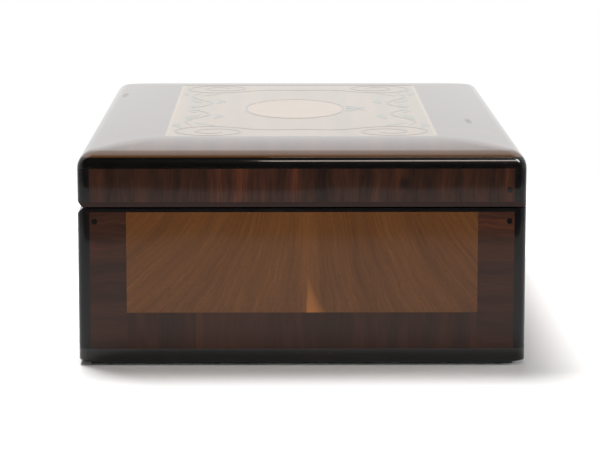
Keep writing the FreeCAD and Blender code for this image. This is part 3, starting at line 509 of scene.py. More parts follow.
@dataclass(frozen=True)
class RosewoodTop(Finish):
    """The same rosewood on the lid: four crossbanded borders with mitred corners, under a mirror polish."""

    shade: tuple[str, str, str, str] = ("332116", "43291a", "503321", "63422b")
    # Plain tone for the rounded edge: painted reflection of the warm band mirrored there
    strip: str = "4e3012"
    bruise: str = "120d0a"
    bruised: tuple[Point, Point] = ((98.0, 110.0), (-57.0, -97.0))
    bruise_stretch: float = 0.16
    bruise_radius: Point = (2.6, 0.8)
    border_shift: float = 17.0
    drawn_out: float = 0.05
    figure_mm: float = 9.0909
    streak_mm: float = 1.1765
    painted_reflection_fade: Point = (10.0, 4.0)
    roughness: float = 0.1
    bruise_roughness: float = 0.75
    haze: float = 0.03

    def dress(self, tree: Tree, shader: Node) -> None:
        """Adds the mitred borders and the polish.

        Args:
            tree: The finish's node tree.
            shader: The surface shader.
        """
        spot = place_in_mm(tree)
        edge = []
        for axis, half in enumerate((HALF_LENGTH, HALF_DEPTH)):
            size = add_node(tree, "ShaderNodeMath", {0: spot.outputs[axis]}, operation="ABSOLUTE")
            gap = add_node(tree, "ShaderNodeMath", {0: half, 1: size}, operation="SUBTRACT")
            edge.append(gap)
        on_end = add_node(tree, "ShaderNodeMath", {0: edge[0], 1: edge[1]}, operation="LESS_THAN")
        run = add_node(tree, "ShaderNodeMix", {0: on_end, 2: spot.outputs[0], 3: spot.outputs[1]})
        cross = add_node(tree, "ShaderNodeMix", {0: on_end, 2: spot.outputs[1], 3: spot.outputs[0]})
        slow = add_node(tree, "ShaderNodeMath", {0: cross, 1: self.drawn_out}, operation="MULTIPLY")
        seed = add_node(tree, "ShaderNodeMath", {0: on_end, 1: self.border_shift}, operation="MULTIPLY")
        grain = add_node(tree, "ShaderNodeCombineXYZ", {0: run, 1: slow, 2: seed})
        broad = add_node(tree, "ShaderNodeTexNoise", {
            "Vector": grain, "Scale": 1 / self.figure_mm, "Detail": 2.0, "Distortion": 0.4,
        })
        streak = add_node(tree, "ShaderNodeTexNoise", {
            "Vector": grain, "Scale": 1 / self.streak_mm, "Detail": 3.0, "Roughness": 0.65,
        })
        tone = add_node(tree, "ShaderNodeMath", {0: streak, 1: 0.6, 2: -0.2}, operation="MULTIPLY_ADD")
        tone = add_node(tree, "ShaderNodeMath", {0: broad, 1: 0.8, 2: tone}, operation="MULTIPLY_ADD")
        stops = list(zip((0.25, 0.45, 0.6, 0.8), self.shade))
        colour = add_node(tree, "ShaderNodeValToRGB", {0: tone}, stops=stops)
        # Beside the rounded edge the figure fades into one plain, warmer tone, a painted reflection of the
        # smooth warm band that the polish mirrors there
        near = add_node(tree, "ShaderNodeMath", {0: edge[0], 1: edge[1]}, operation="MINIMUM")
        plain = add_node(tree, "ShaderNodeMapRange", {
            0: near, 1: self.painted_reflection_fade[0], 2: self.painted_reflection_fade[1], 3: 0.0, 4: 0.85,
        })
        colour = add_node(tree, "ShaderNodeMixRGB", {0: plain, 1: colour, 2: linear(self.strip)})
        mark = self.bruises(tree, spot)
        colour = add_node(tree, "ShaderNodeMixRGB", {0: mark, 1: colour, 2: linear(self.bruise)})
        dull = add_node(tree, "ShaderNodeMapRange", {
            0: mark, 1: 0.0, 2: 1.0, 3: self.roughness, 4: self.bruise_roughness,
        })
        links = {"Base Color": colour, "Roughness": dull, "Coat Weight": 1.0, "Coat Roughness": self.haze}
        join(tree, shader, links)

    def bruises(self, tree: Tree, spot: Node) -> Node:
        """Marks two small bruises under the polish, long along the lid, which look grey at a low angle.

        Args:
            tree: The finish's node tree.
            spot: The point in millimetres.

        Returns:
            A node that is 1 on a bruise and 0 elsewhere.
        """
        short = add_node(tree, "ShaderNodeMath", {
            0: spot.outputs[0], 1: self.bruise_stretch,
        }, operation="MULTIPLY")
        place = add_node(tree, "ShaderNodeCombineXYZ", {0: short, 1: spot.outputs[1]})
        marks = []
        for x, y in self.bruised:
            centre = (x * self.bruise_stretch, y, 0.0)
            gap = add_node(tree, "ShaderNodeVectorMath", {0: place, 1: centre}, operation="DISTANCE")
            mark = add_node(tree, "ShaderNodeMapRange", {
                0: gap.outputs["Value"], 1: self.bruise_radius[0], 2: self.bruise_radius[1], 3: 0.0, 4: 0.6,
            })
            marks.append(mark)
        return add_node(tree, "ShaderNodeMath", {0: marks[0], 1: marks[1]}, operation="MAXIMUM")


@dataclass(frozen=True)
class EbonisedWood(Finish):
    """Close-grained wood stained black and polished.

    It has almost no colour and a clear gloss, with red-brown scuffs where handling has rubbed through
    the stain.
    """

    polish: float = 0.4
    crown: Crown | None = None
    shade: tuple[str, str] = ("050404", "0d0a08")
    bare: str = "5a3a30"
    rub_level: float = 0.0
    rubbed: str = "210f09"
    rub_polish: float = 0.21
    patch_mm: float = 15.385
    scuff_length_mm: float = 3.3333
    scuff_mm: float = 1.0
    roughness: float = 0.36
    haze: float = 0.06

    def dress(self, tree: Tree, shader: Node) -> None:
        """Adds the stain's slight patches, the scuffs, the rubbed rim and the polish.

        Args:
            tree: The finish's node tree.
            shader: The surface shader.
        """
        place = add_node(tree, "ShaderNodeTexCoord").outputs["Object"]
        # Patches where the stain is a little rubbed
        patch = add_node(tree, "ShaderNodeTexNoise", {
            "Vector": place, "Scale": 1 / (self.patch_mm * MM), "Detail": 4.0,
        })
        stops = list(zip((0.45, 0.75), self.shade))
        colour = add_node(tree, "ShaderNodeValToRGB", {0: patch}, stops=stops)
        # Low, long scuffs, only inside the rubbed patches
        along, up = 1 / (self.scuff_length_mm * MM), 1 / (self.scuff_mm * MM)
        drawn = add_node(tree, "ShaderNodeVectorMath", {
            0: place, 1: (along, along, up),
        }, operation="MULTIPLY")
        scuff = add_node(tree, "ShaderNodeTexNoise", {"Vector": drawn, "Scale": 1.0, "Detail": 3.0})
        worn = add_node(tree, "ShaderNodeMapRange", {0: patch, 1: 0.52, 2: 0.62, 3: 0.0, 4: 0.6})
        scuff = add_node(tree, "ShaderNodeMapRange", {0: scuff, 1: 0.66, 2: 0.74})
        scuff = add_node(tree, "ShaderNodeMath", {0: scuff, 1: worn}, operation="MULTIPLY")
        colour = add_node(tree, "ShaderNodeMixRGB", {0: scuff, 1: colour, 2: linear(self.bare)})
        level = place_in_mm(tree).outputs[2]
        coat = self.polish
        if self.rub_level:
            # A rim under this level has been handled until the stain is brown and its polish thin
            low = add_node(tree, "ShaderNodeMath", {0: level, 1: self.rub_level}, operation="LESS_THAN")
            colour = add_node(tree, "ShaderNodeMixRGB", {0: low, 1: colour, 2: linear(self.rubbed)})
            coat = add_node(tree, "ShaderNodeMapRange", {
                0: low, 1: 0.0, 2: 1.0, 3: self.polish, 4: self.rub_polish,
            })
        self.varnish(tree, shader, colour, self.roughness, coat, self.haze)
        if self.crown is not None:
            self.bump(tree, shader, self.crown.height(tree, level), BOTH_NORMALS)


@dataclass(frozen=True)
class StraightWood(Finish):
    """Sawn or sliced wood with straight grain: fine lines along the piece over slow changes of tone."""

    grain: Grain
    shade: tuple[str, str, str]
    line_mm: float = 1.2
    roughness: float = 0.4
    coat: float = 0.0
    haze: float = 0.03
    drawn_out: float = 0.05
    relief_mm: float = 0.02

    def dress(self, tree: Tree, shader: Node) -> None:
        """Adds the grain lines and the polish.

        Args:
            tree: The finish's node tree.
            shader: The surface shader.
        """
        stretch = {Grain.ALONG_X: (self.drawn_out, 1, 1), Grain.ALONG_Y: (1, self.drawn_out, 1)}
        place = add_node(tree, "ShaderNodeTexCoord").outputs["Object"]
        grain = add_node(tree, "ShaderNodeVectorMath", {
            0: place, 1: stretch[self.grain],
        }, operation="MULTIPLY")
        fine = add_node(tree, "ShaderNodeTexNoise", {
            "Vector": grain, "Scale": 1 / (self.line_mm * MM), "Detail": 3.0, "Roughness": 0.6,
        })
        broad = add_node(tree, "ShaderNodeTexNoise", {
            "Vector": grain, "Scale": 0.1 / (self.line_mm * MM), "Detail": 2.0, "Distortion": 0.6,
        })
        tone = add_node(tree, "ShaderNodeMath", {0: fine, 1: 0.55, 2: -0.03}, operation="MULTIPLY_ADD")
        tone = add_node(tree, "ShaderNodeMath", {0: broad, 1: 0.5, 2: tone}, operation="MULTIPLY_ADD")
        stops = list(zip((0.3, 0.5, 0.7), self.shade))
        colour = add_node(tree, "ShaderNodeValToRGB", {0: tone}, stops=stops)
        join(tree, shader, {
            "Base Color": colour, "Roughness": self.roughness, "Coat Weight": self.coat,
            "Coat Roughness": self.haze,
        })
        height = add_node(tree, "ShaderNodeMath", {0: fine, 1: self.relief_mm * MM}, operation="MULTIPLY")
        self.bump(tree, shader, height)


@dataclass(frozen=True)
class Metal(Finish):
    """Turned or filed metal: a warm or cool mirror, with fine tool marks and slightly dull patches."""

    shade: tuple[str, str]
    roughness: tuple[float, float]
    mark_mm: float = 0.5
    patch_mm: float = 11.111

    def dress(self, tree: Tree, shader: Node) -> None:
        """Adds the tool marks and the dull patches.

        Args:
            tree: The finish's node tree.
            shader: The surface shader.
        """
        place = add_node(tree, "ShaderNodeTexCoord").outputs["Object"]
        patch = add_node(tree, "ShaderNodeTexNoise", {
            "Vector": place, "Scale": 1 / (self.patch_mm * MM), "Detail": 4.0,
        })
        stops = list(zip((0.3, 0.7), self.shade))
        colour = add_node(tree, "ShaderNodeValToRGB", {0: patch}, stops=stops)
        mark = add_node(tree, "ShaderNodeTexNoise", {
            "Vector": place, "Scale": 1 / (self.mark_mm * MM), "Detail": 2.0,
        })
        dull = add_node(tree, "ShaderNodeMapRange", {
            0: mark, 1: 0.3, 2: 0.7, 3: self.roughness[0], 4: self.roughness[1],
        })
        join(tree, shader, {"Base Color": colour, "Roughness": dull, "Metallic": 1.0})


@dataclass(frozen=True)
class WindowGlass(Finish):
    """Thin drawn glass: clear, faintly green, with a slight ripple in what it mirrors."""

    shade: str = "f2fbf7"
    wave_mm: float = 25.0
    ripple_mm: float = 0.04
    roughness: float = 0.02

    def dress(self, tree: Tree, shader: Node) -> None:
        """Adds the ripple and the clear body.

        Args:
            tree: The finish's node tree.
            shader: The surface shader.
        """
        place = add_node(tree, "ShaderNodeTexCoord").outputs["Object"]
        ripple = add_node(tree, "ShaderNodeTexNoise", {
            "Vector": place, "Scale": 1 / (self.wave_mm * MM), "Detail": 0.0,
        })
        height = add_node(tree, "ShaderNodeMath", {0: ripple, 1: self.ripple_mm * MM}, operation="MULTIPLY")
        self.bump(tree, shader, height)
        clear = {"Base Color": linear(self.shade), "Roughness": self.roughness, "Transmission Weight": 1.0}
        join(tree, shader, clear)


@dataclass(frozen=True)
class WoolBaize(Finish):
    """Napped wool cloth dyed green, its green darkened further as painted shade for the shadow under the
    base: no gloss, a soft sheen and a fine felted mottle.
    """

    # Both tones are dyed green and darkened further as painted shade, since the cloth lies in the shadow
    # under the base
    shade: tuple[str, str] = ("0a150f", "1a3426")
    clump_mm: float = 0.625
    nap_mm: float = 0.4

    def dress(self, tree: Tree, shader: Node) -> None:
        """Adds the felted mottle and the nap.

        Args:
            tree: The finish's node tree.
            shader: The surface shader.
        """
        place = add_node(tree, "ShaderNodeTexCoord").outputs["Object"]
        felt = add_node(tree, "ShaderNodeTexNoise", {
            "Vector": place, "Scale": 1 / (self.clump_mm * MM), "Detail": 4.0,
        })
        stops = list(zip((0.3, 0.7), self.shade))
        colour = add_node(tree, "ShaderNodeValToRGB", {0: felt}, stops=stops)
        join(tree, shader, {"Base Color": colour, "Roughness": 0.95, "Sheen Weight": 0.15})
        height = add_node(tree, "ShaderNodeMath", {0: felt, 1: self.nap_mm * MM}, operation="MULTIPLY")
        self.bump(tree, shader, height)


def inlay_wood(name: str, grain: Grain, shade: tuple[str, str, str], line_mm: float = 0.8) -> StraightWood:
    """Gives a veneer that lies under the lid's mirror polish.

    Args:
        name: The material's name.
        grain: The way its grain runs.
        shade: Its dark, middle and light tones.
        line_mm: The width of its grain lines.

    Returns:
        The finish.
    """
    return StraightWood(name, grain, shade, line_mm, 0.1, 1.0)


# Black polish that mirrors, and plain brown boards under the veneers
GLOSSY_EBONISED = EbonisedWood("ebonised_pearwood_french_polished", 1.0)
CARCASS_SHADE = ("321a0d", "4a2815", "623a20")
CARCASS = {
    grain: StraightWood(f"stained_mahogany_{grain.value}", grain, CARCASS_SHADE, 1.4, 0.45, 0.1)
    for grain in Grain
}
# The panel's veneers: a honey ground, dark lines, pale stringing, a warm field, and two faded dyes
SATINWOOD = inlay_wood("satinwood_veneer", Grain.ALONG_X, ("84684a", "967a54", "a88c64"), 0.9)
ROSEWOOD_LINE = inlay_wood("rosewood_inlay", Grain.ALONG_X, ("24130d", "331c12", "452818"))
BOXWOOD = inlay_wood("boxwood_stringing", Grain.ALONG_X, ("9c8664", "a8926f", "b39d7b"))
TULIPWOOD = inlay_wood("tulipwood_field", Grain.ALONG_Y, ("a3805a", "b38f66", "c19e75"), 1.2)
GREEN_SYCAMORE = inlay_wood("green_stained_sycamore", Grain.ALONG_Y, ("47503a", "5b6349", "6d7558"))
BLUE_SYCAMORE = inlay_wood("blue_stained_sycamore", Grain.ALONG_X, ("4a5a60", "5f7278", "748a8e"))
# Warm plates and wheels, a duller turned cylinder, bright and dark steels, and blue screw heads
BRASS = Metal("lacquered_brass", ("c79a48", "e0bb6c"), (0.2, 0.34))
CYLINDER_BRASS = Metal("turned_cylinder_brass", ("c09a54", "d8b673"), (0.34, 0.48), 0.4)
STEEL = Metal("bright_steel", ("9a9da1", "bfc2c6"), (0.18, 0.32), 0.3)
PIN_STEEL = Metal("drawn_pin_steel", ("5b5f66", "767a82"), (0.3, 0.45), 0.3)
BLUED = Metal("blued_steel", ("1d2a46", "324a74"), (0.2, 0.32), 0.3)
GLASS = WindowGlass("drawn_glass")
BAIZE = WoolBaize("green_wool_baize_painted_shade")


def dress_nodes(finish: Finish, *names: str) -> None:
    """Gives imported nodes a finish.

    Args:
        finish: The finish they take.
        names: The nodes.
    """
    for name in names:
        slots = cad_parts[name].data.materials
        slots.clear()
        slots.append(finish.material())
        LOG.info("node %s: %s", name, finish.name)


def make_piece(
    name: str, shape: Shape, finish: Finish, body: str, smooth_degrees: float = 0.0
) -> bpy.types.Object:
    """Makes a mesh in millimetres that rides on a body.

    Args:
        name: The piece's name.
        shape: Its vertices, and its faces as vertex numbers.
        finish: Its finish.
        body: The body that carries it.
        smooth_degrees: Edges flatter than this look smooth.

    Returns:
        The new piece.
    """
    points, faces = shape
    mesh = bpy.data.meshes.new(name)
    mesh.from_pydata([Vector(p) * MM for p in points], [], faces)
    mesh.validate()
    if smooth_degrees:
        mesh.shade_smooth()
        mesh.set_sharp_from_angle(angle=math.radians(smooth_degrees))
    mesh.materials.append(finish.material())
    piece = bpy.data.objects.new(name, mesh)
    bpy.context.scene.collection.objects.link(piece)
    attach(piece, body)
    LOG.info("piece %s on %s: %s", name, body, finish.name)
    return piece


def corner_arc(half: Point, radius: float, quarter: int, steps: int) -> list[Point]:
    """Draws one rounded corner of a rectangle.

    Args:
        half: Half the rectangle's size.
        radius: The corner's radius.
        quarter: The corner's number, in the order of CORNERS.
        steps: The arc's pieces.

    Returns:
        The arc's points.
    """
    x = CORNERS[quarter][0] * (half[0] - radius)
    y = CORNERS[quarter][1] * (half[1] - radius)
    turns = [math.pi / 2 * (quarter + k / steps) for k in range(steps + 1)]
    return [(x + radius * math.cos(turn), y + radius * math.sin(turn)) for turn in turns]


def tube_faces(first: int, second: int, count: int) -> list[Face]:
    """Joins two rings of vertices by a wall.

    Args:
        first: The number of one ring's first vertex.
        second: The number of the other's.
        count: The vertices in each.

    Returns:
        The wall's faces.
    """
    faces = []
    for k in range(count):
        after = (k + 1) % count
        faces.append((first + k, first + after, second + after, second + k))
    return faces


def wall_faces(base: int, rows: int, count: int) -> list[Face]:
    """Joins rings that stand one over another.

    Args:
        base: The number of the lowest ring's first vertex.
        rows: How many rings there are.
        count: The vertices in each.

    Returns:
        The walls' faces, open at both ends.
    """
    starts = [base + row * count for row in range(rows)]
    return [face for low, high in zip(starts, starts[1:]) for face in tube_faces(low, high, count)]


def stack_faces(base: int, rows: int, count: int) -> list[Face]:
    """Joins rings that stand one over another, and closes both ends.

    Args:
        base: The number of the lowest ring's first vertex.
        rows: How many rings there are.
        count: The vertices in each.

    Returns:
        The faces of the walls and of the two ends.
    """
    first = tuple(range(base, base + count))
    last = tuple(range(base + (rows - 1) * count, base + rows * count))
    return wall_faces(base, rows, count) + [first[::-1], last]


@dataclass
class CaseWork:
    """The veneered body: boards, panels, crossbands, black edging and the baize under the base."""

    upright_edge: float = 26.4
    veneer_piece: float = 57.0
    end_joint: float = -3.4
    baize_half: Point = (174.0, 114.0)
    baize_thick: float = 1.7
    baize_steps: tuple[int, int] = (120, 80)
    baize_ragged: float = 0.5
    base_width: float = 6.5
    base_round: float = 0.8
    base_inner_radius: float = 0.5
    corner_steps: int = 12
    corner_wear: tuple[float, float, float, float] = (1.6, 1.2, 2.3, 1.4)
    wear_length: float = 11.0
    wear_fade: float = 1.4
    wear_steps: tuple[float, ...] = (0.8, 1.6, 2.5, 3.5, 4.5, 5.6, 7.0, 9.0, 12.0)
    smooth_degrees: float = 50.0

    def dress(self) -> None:
        """Gives the body's nodes their woods."""
        end = BookMatchedMahogany("mahogany_book_matched_end", Facing.END, self.end_joint, 0.85, 0.2)
        side = BookMatchedMahogany("mahogany_book_matched_side", Facing.SIDE, 0.0, 1.1, 0.0)
        piece, corner = self.veneer_piece, self.upright_edge
        bands = RosewoodCrossband("rosewood_crossband_case", BODY_CROWN, piece, corner)
        edging = EbonisedWood("ebonised_pearwood_case", crown=BODY_CROWN)
        dress_nodes(end, "left_panel", "right_panel")
        dress_nodes(side, "front_panel", "back_panel")
        dress_nodes(bands, "crossband_uprights", "crossband_base")
        dress_nodes(edging, "case_edging", "case_plugs")
        dress_nodes(CARCASS[Grain.ALONG_X], "case_front", "case_back", "base_board", "bedplate_bearers")
        across = CARCASS[Grain.ALONG_Y]
        dress_nodes(across, "case_left_end", "case_right_end", "left_partition", "right_partition")

    def build(self) -> None:
        """Lays the baize and sets the worn base edging over it."""
        self.build_baize()
        self.build_base()

    def base_ring(self, inset: float, radius: float) -> list[Point]:
        """Gives the base's outline at an inset, with points close together near its corners.

        Args:
            inset: How far it lies inside the box's outline.
            radius: The radius of its corners.

        Returns:
            The outline's points, the same number at any inset.
        """
        half = (HALF_LENGTH - inset, HALF_DEPTH - inset)
        outline = []
        for quarter, way in enumerate(((-1, 0), (0, -1), (1, 0), (0, 1))):
            outline += corner_arc(half, radius, quarter, self.corner_steps)
            run = 2 * (half[quarter % 2] - radius)
            x, y = outline[-1]
            for step in self.wear_steps + tuple(run - s for s in self.wear_steps[::-1]):
                outline.append((x + way[0] * step, y + way[1] * step))
        return outline

    def wear(self, spot: Point) -> float:
        """Gives how far handling has worn the lower edge upwards near a corner.

        Args:
            spot: A point of the base's outline.

        Returns:
            The depth of the wear in millimetres.
        """
        x, y = spot
        gap = math.hypot(HALF_LENGTH - abs(x), HALF_DEPTH - abs(y))
        depth = self.corner_wear[(x > 0) + 2 * (y > 0)]
        return depth * max(0.0, 1 - gap / self.wear_length) ** self.wear_fade

    def build_base(self) -> None:
        """Makes the black base edging, rounded below and worn at its lower corners."""
        outer = self.base_ring(0.0, CORNER_RADIUS)
        lower = self.base_ring(self.base_round, CORNER_RADIUS - self.base_round)
        inner = self.base_ring(self.base_width, self.base_inner_radius)
        between = [(a[0] * 0.7 + b[0] * 0.3, a[1] * 0.7 + b[1] * 0.3) for a, b in zip(outer, lower)]
        worn = [self.wear(spot) for spot in outer]
        low, rise = self.baize_thick, self.base_round
        # Each ring's outline, its height, and the share of the wear that lifts it
        rings = (
            (outer, BASE_TOP, 0.0),
            (outer, low + rise, 1.0),
            (between, low + 0.3 * rise, 0.8),
            (lower, low, 0.6),
            (inner, low, 0.0),
            (inner, BASE_TOP, 0.0),
        )
        points, faces = [], []
        for outline, level, share in rings:
            points += [(x, y, level + share * depth) for (x, y), depth in zip(outline, worn)]
        count = len(outer)
        for row in range(len(rings)):
            a, b = row * count, (row + 1) % len(rings) * count
            for k in range(count):
                after = (k + 1) % count
                faces.append((a + after, a + k, b + k, b + after))
        finish = EbonisedWood("ebonised_pearwood_base", 0.75, shade=("090808", "14100d"))
        shape = (points, faces)
        edging = make_piece("base_worn_edging", shape, finish, "case", self.smooth_degrees)
        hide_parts("base_edging")

    def build_baize(self) -> None:
        """Lays the baize, whose cut edge is a little ragged."""
        rng = random.Random(11)
        half_x, half_y = self.baize_half
        sides = (((-1, -1), (1, 0)), ((1, -1), (0, 1)), ((1, 1), (-1, 0)), ((-1, 1), (0, -1)))
        points = []
        for level in (0.0, self.baize_thick):
            for number, (start, way) in enumerate(sides):
                steps = self.baize_steps[number % 2]
                for k in range(steps):
                    share = 2 * k / steps
                    ragged = 1 - rng.uniform(0, self.baize_ragged) / half_y
                    x = (start[0] + way[0] * share) * half_x * ragged
                    y = (start[1] + way[1] * share) * half_y * ragged
                    points.append((x, y, level))
        count = len(points) // 2
        faces = [tuple(range(count))[::-1], tuple(range(count, 2 * count))] + tube_faces(0, count, count)
        cloth = make_piece("baize_cloth", (points, faces), BAIZE, "case")
        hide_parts("baize")


@dataclass
class LidWork:
    """The lid: crossbanded sides and a pillow of rosewood with a black rounded edge, round the inlaid panel.
    """

    edge_radius: float = 9.2
    dome_radius: float = 251.4
    moulding_width: float = 2.05
    corner_growth: float = 0.3
    panel_corner: float = 0.05
    panel_seat: float = 0.8
    underside: float = -0.9
    veneer_piece: float = 60.0
    knot: Spot = (-54.8, 99.0, 4.0)
    arc_steps: int = 24
    corner_steps: int = 12
    smooth_degrees: float = 40.0

    def dress(self) -> None:
        """Gives the lid's nodes their woods, in whole pieces that leave no sliver at a corner."""
        bands = RosewoodCrossband("rosewood_crossband_lid", LID_CROWN, self.veneer_piece, knot=self.knot)
        dress_nodes(bands, "lid_crossbands")
        edging = EbonisedWood("ebonised_pearwood_lid", crown=LID_CROWN, rub_level=LID_RIM_TOP)
        dress_nodes(edging, "lid_edging", "lid_plugs")
        dress_nodes(CARCASS[Grain.ALONG_X], "lid_rails")

    def section(self) -> list[Point]:
        """Draws the pillow's section from the foot of its rounded edge to the flat.

        Returns:
            The inset and height of each point.
        """
        lean = math.asin((LID_MARGIN - self.edge_radius) / (self.dome_radius - self.edge_radius))
        side_z = LID_FLAT - self.dome_radius * (1 - math.cos(lean)) - self.edge_radius * math.cos(lean)
        last = math.pi / 2 - lean
        share = 1 - self.moulding_width / self.edge_radius
        turns = sorted([last * k / self.arc_steps for k in range(self.arc_steps + 1)] + [math.acos(share)])
        section = []
        for turn in turns:
            height = side_z + self.edge_radius * math.sin(turn)
            section.append((self.edge_radius * (1 - math.cos(turn)), max(height, LID_BAND_TOP)))
        for k in range(1, self.arc_steps + 1):
            tilt = lean * (1 - k / self.arc_steps)
            height = LID_FLAT - self.dome_radius * (1 - math.cos(tilt))
            section.append((LID_MARGIN - self.dome_radius * math.sin(tilt), height))
        return section

    def ring(self, inset: float) -> list[Point]:
        """Draws the lid's outline at an inset: its corners grow rounder, and then square at the panel.

        Args:
            inset: How far it lies inside the lid's edge.

        Returns:
            The outline's points, the same number at any inset.
        """
        squared = (inset / LID_MARGIN) ** 3
        radius = (CORNER_RADIUS + self.corner_growth * inset) * (1 - squared) + self.panel_corner * squared
        half = (HALF_LENGTH - inset, HALF_DEPTH - inset)
        arcs = [corner_arc(half, radius, quarter, self.corner_steps) for quarter in range(4)]
        return [spot for arc in arcs for spot in arc]

    def rings(self, levels: list[Point]) -> list[Spot]:
        """Gives the outlines at several insets and heights, one after another."""
        return [(x, y, height) for inset, height in levels for x, y in self.ring(inset)]

    def build(self) -> None:
        """Makes the pillow and its black edge, which stand for the coarser packed ones."""
        section = self.section()
        split = min(range(len(section)), key=lambda k: abs(section[k][0] - self.moulding_width))
        count = 4 * (self.corner_steps + 1)
        foot = (self.moulding_width, LID_BAND_TOP)
        outer = [(0.0, LID_BAND_TOP)] + section[1:split + 1] + [foot]
        faces = wall_faces(0, len(outer), count) + tube_faces((len(outer) - 1) * count, 0, count)
        shape = (self.rings(outer), faces)
        moulding = make_piece(
            "lid_black_edge", shape, GLOSSY_EBONISED, "lid", self.smooth_degrees
        )
        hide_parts("lid_moulding")
        inner = [foot] + section[split:] + [(LID_MARGIN, LID_FLAT - self.panel_seat)]
        shape = (self.rings(inner), stack_faces(0, len(inner), count))
        rosewood = RosewoodTop("rosewood_lid_borders")
        pillow = make_piece("lid_pillow", shape, rosewood, "lid", self.smooth_degrees)
        pillow.data.materials.append(CARCASS[Grain.ALONG_X].material())
        for face in pillow.data.polygons:
            face.material_index = int(face.normal.z < self.underside)
        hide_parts("lid_top")


@dataclass
class Marquetry:
    """The lid's inlaid panel: a light ground with stringing, an oval, scrolled lines and small leaves.

    All of it is laid flush, each strip a few microns under the last, so that no two faces share a level.
    """

    half: Point = (135.0, 75.0)
    top: float = LID_FLAT
    thick: float = 0.3
    ground_sink: float = 0.06
    ground_thick: float = 0.8
    ground_steps: tuple[int, int] = (54, 30)
    string_inset: float = 1.0
    string_width: float = 1.5
    string_sinks: Point = (0.004, 0.007)
    oval: Point = (49.0, 29.0)
    oval_back: float = 3.0
    oval_line: float = 1.1
    oval_string: float = 1.0
    oval_string_gap: float = 1.4
    oval_string_sink: float = 0.005
    oval_field_gap: float = 0.4
    oval_field_sink: float = 0.03
    volute_widths: Spot = (1.0, 1.7, 0.7)
    wave_widths: Spot = (0.7, 1.5, 0.7)
    scroll_sinks: Point = (0.01, 0.012)
    leaf_widths: Spot = (0.3, 4.6, 0.3)
    leaf_sink: float = 0.02
    leaf_step: float = 0.002
    loop_widths: Spot = (0.9, 2.6, 0.9)
    tail_widths: Spot = (0.9, 2.2, 0.7)
    bow_sinks: tuple[Point, Point] = ((0.008, 0.014), (0.011, 0.017))
    swell: float = 0.8

    def build(self) -> None:
        """Lays the ground and every inlay."""
        self.lay_ground()
        self.lay_stringing()
        self.lay_oval()
        self.lay_scrolls()
        self.lay_leaves()
        self.lay_bow()

    def ribbon(self, path: list[Point], widths: list[float], sink: float, closed: bool = False) -> Shape:
        """Cuts a strip of veneer along a line.

        Args:
            path: The middle line.
            widths: Its width at each point.
            sink: How far its face lies under the panel's face.
            closed: Whether the line joins its own start.

        Returns:
            Vertices and faces.
        """
        points, faces = [], []
        count = len(path)
        for k, (x, y) in enumerate(path):
            before = path[k - 1] if k or closed else path[0]
            after = path[(k + 1) % count] if k < count - 1 or closed else path[-1]
            run = Vector((after[0] - before[0], after[1] - before[1])).normalized()
            half = widths[k] / 2
            for side in (1, -1):
                for level in (self.top - sink, self.top - self.thick):
                    points.append((x - run.y * half * side, y + run.x * half * side, level))
        for k in range(count if closed else count - 1):
            a, b = 4 * k, 4 * ((k + 1) % count)
            faces += [(a + 2, b + 2, b, a), (a + 1, b + 1, b + 3, a + 3)]
            faces += [(a, b, b + 1, a + 1), (a + 3, b + 3, b + 2, a + 2)]
        if not closed:
            end = 4 * (count - 1)
            faces += [(0, 1, 3, 2), (end + 2, end + 3, end + 1, end)]
        return points, faces

    def inlay(self, name: str, strips: list[Shape], finish: Finish) -> None:
        """Joins strips into one piece on the lid.

        Args:
            name: The piece's name.
            strips: Vertices and faces of each strip.
            finish: The veneer.
        """
        points, faces = [], []
        for some_points, some_faces in strips:
            base = len(points)
            points += some_points
            faces += [tuple(base + i for i in face) for face in some_faces]
        make_piece(name, (points, faces), finish, "lid")

    def curve(self, knots: list[Point], steps: int = 10) -> list[Point]:
        """Draws a smooth line through points.

        Args:
            knots: The points.
            steps: Pieces between two points.

        Returns:
            The line's points.
        """
        path = []
        spots = [Vector(p) for p in knots]
        spots = [2 * spots[0] - spots[1]] + spots + [2 * spots[-1] - spots[-2]]
        for a, b, c, d in zip(spots, spots[1:], spots[2:], spots[3:]):
            bend = 2 * a - 5 * b + 4 * c - d
            twist = 3 * b - a - 3 * c + d
            for k in range(steps):
                t = k / steps
                p = 0.5 * (2 * b + (c - a) * t + bend * t ** 2 + twist * t ** 3)
                path.append((p.x, p.y))
        return path + [tuple(knots[-1])]

    def taper(self, count: int, first: float, middle: float, last: float) -> list[float]:
        """Gives widths that swell and fall along a strip.

        Args:
            count: The strip's points.
            first: Its width at the start.
            middle: Its width half way.
            last: Its width at the end.

        Returns:
            The width at each point.
        """
        widths = []
        for k in range(count):
            share = k / (count - 1)
            end = first if share < 0.5 else last
            widths.append(end + (middle - end) * math.sin(math.pi * share) ** self.swell)
        return widths

    def four_ways(self, path: list[Point], widths: list[float], sink: float) -> list[Shape]:
        """Repeats a strip in the panel's four quarters.

        Args:
            path: The strip's middle line.
            widths: Its width at each point.
            sink: How far its face lies under the panel's face.

        Returns:
            The four strips.
        """
        strips = []
        for sx in (1, -1):
            for sy in (1, -1):
                line = [(sx * x, sy * y) for x, y in path]
                wide = widths
                if sx * sy < 0:
                    line, wide = line[::-1], widths[::-1]
                strips.append(self.ribbon(line, wide, sink))
        return strips

    def ellipse(self, grow: float, steps: int = 96) -> list[Point]:
        """Draws the oval's outline, grown by a margin.

        Args:
            grow: The margin.
            steps: The outline's pieces.

        Returns:
            The outline's points.
        """
        turns = [2 * math.pi * k / steps for k in range(steps)]
        reach = (self.oval[0] + grow, self.oval[1] + grow)
        return [(reach[0] * math.cos(t), self.oval_back + reach[1] * math.sin(t)) for t in turns]

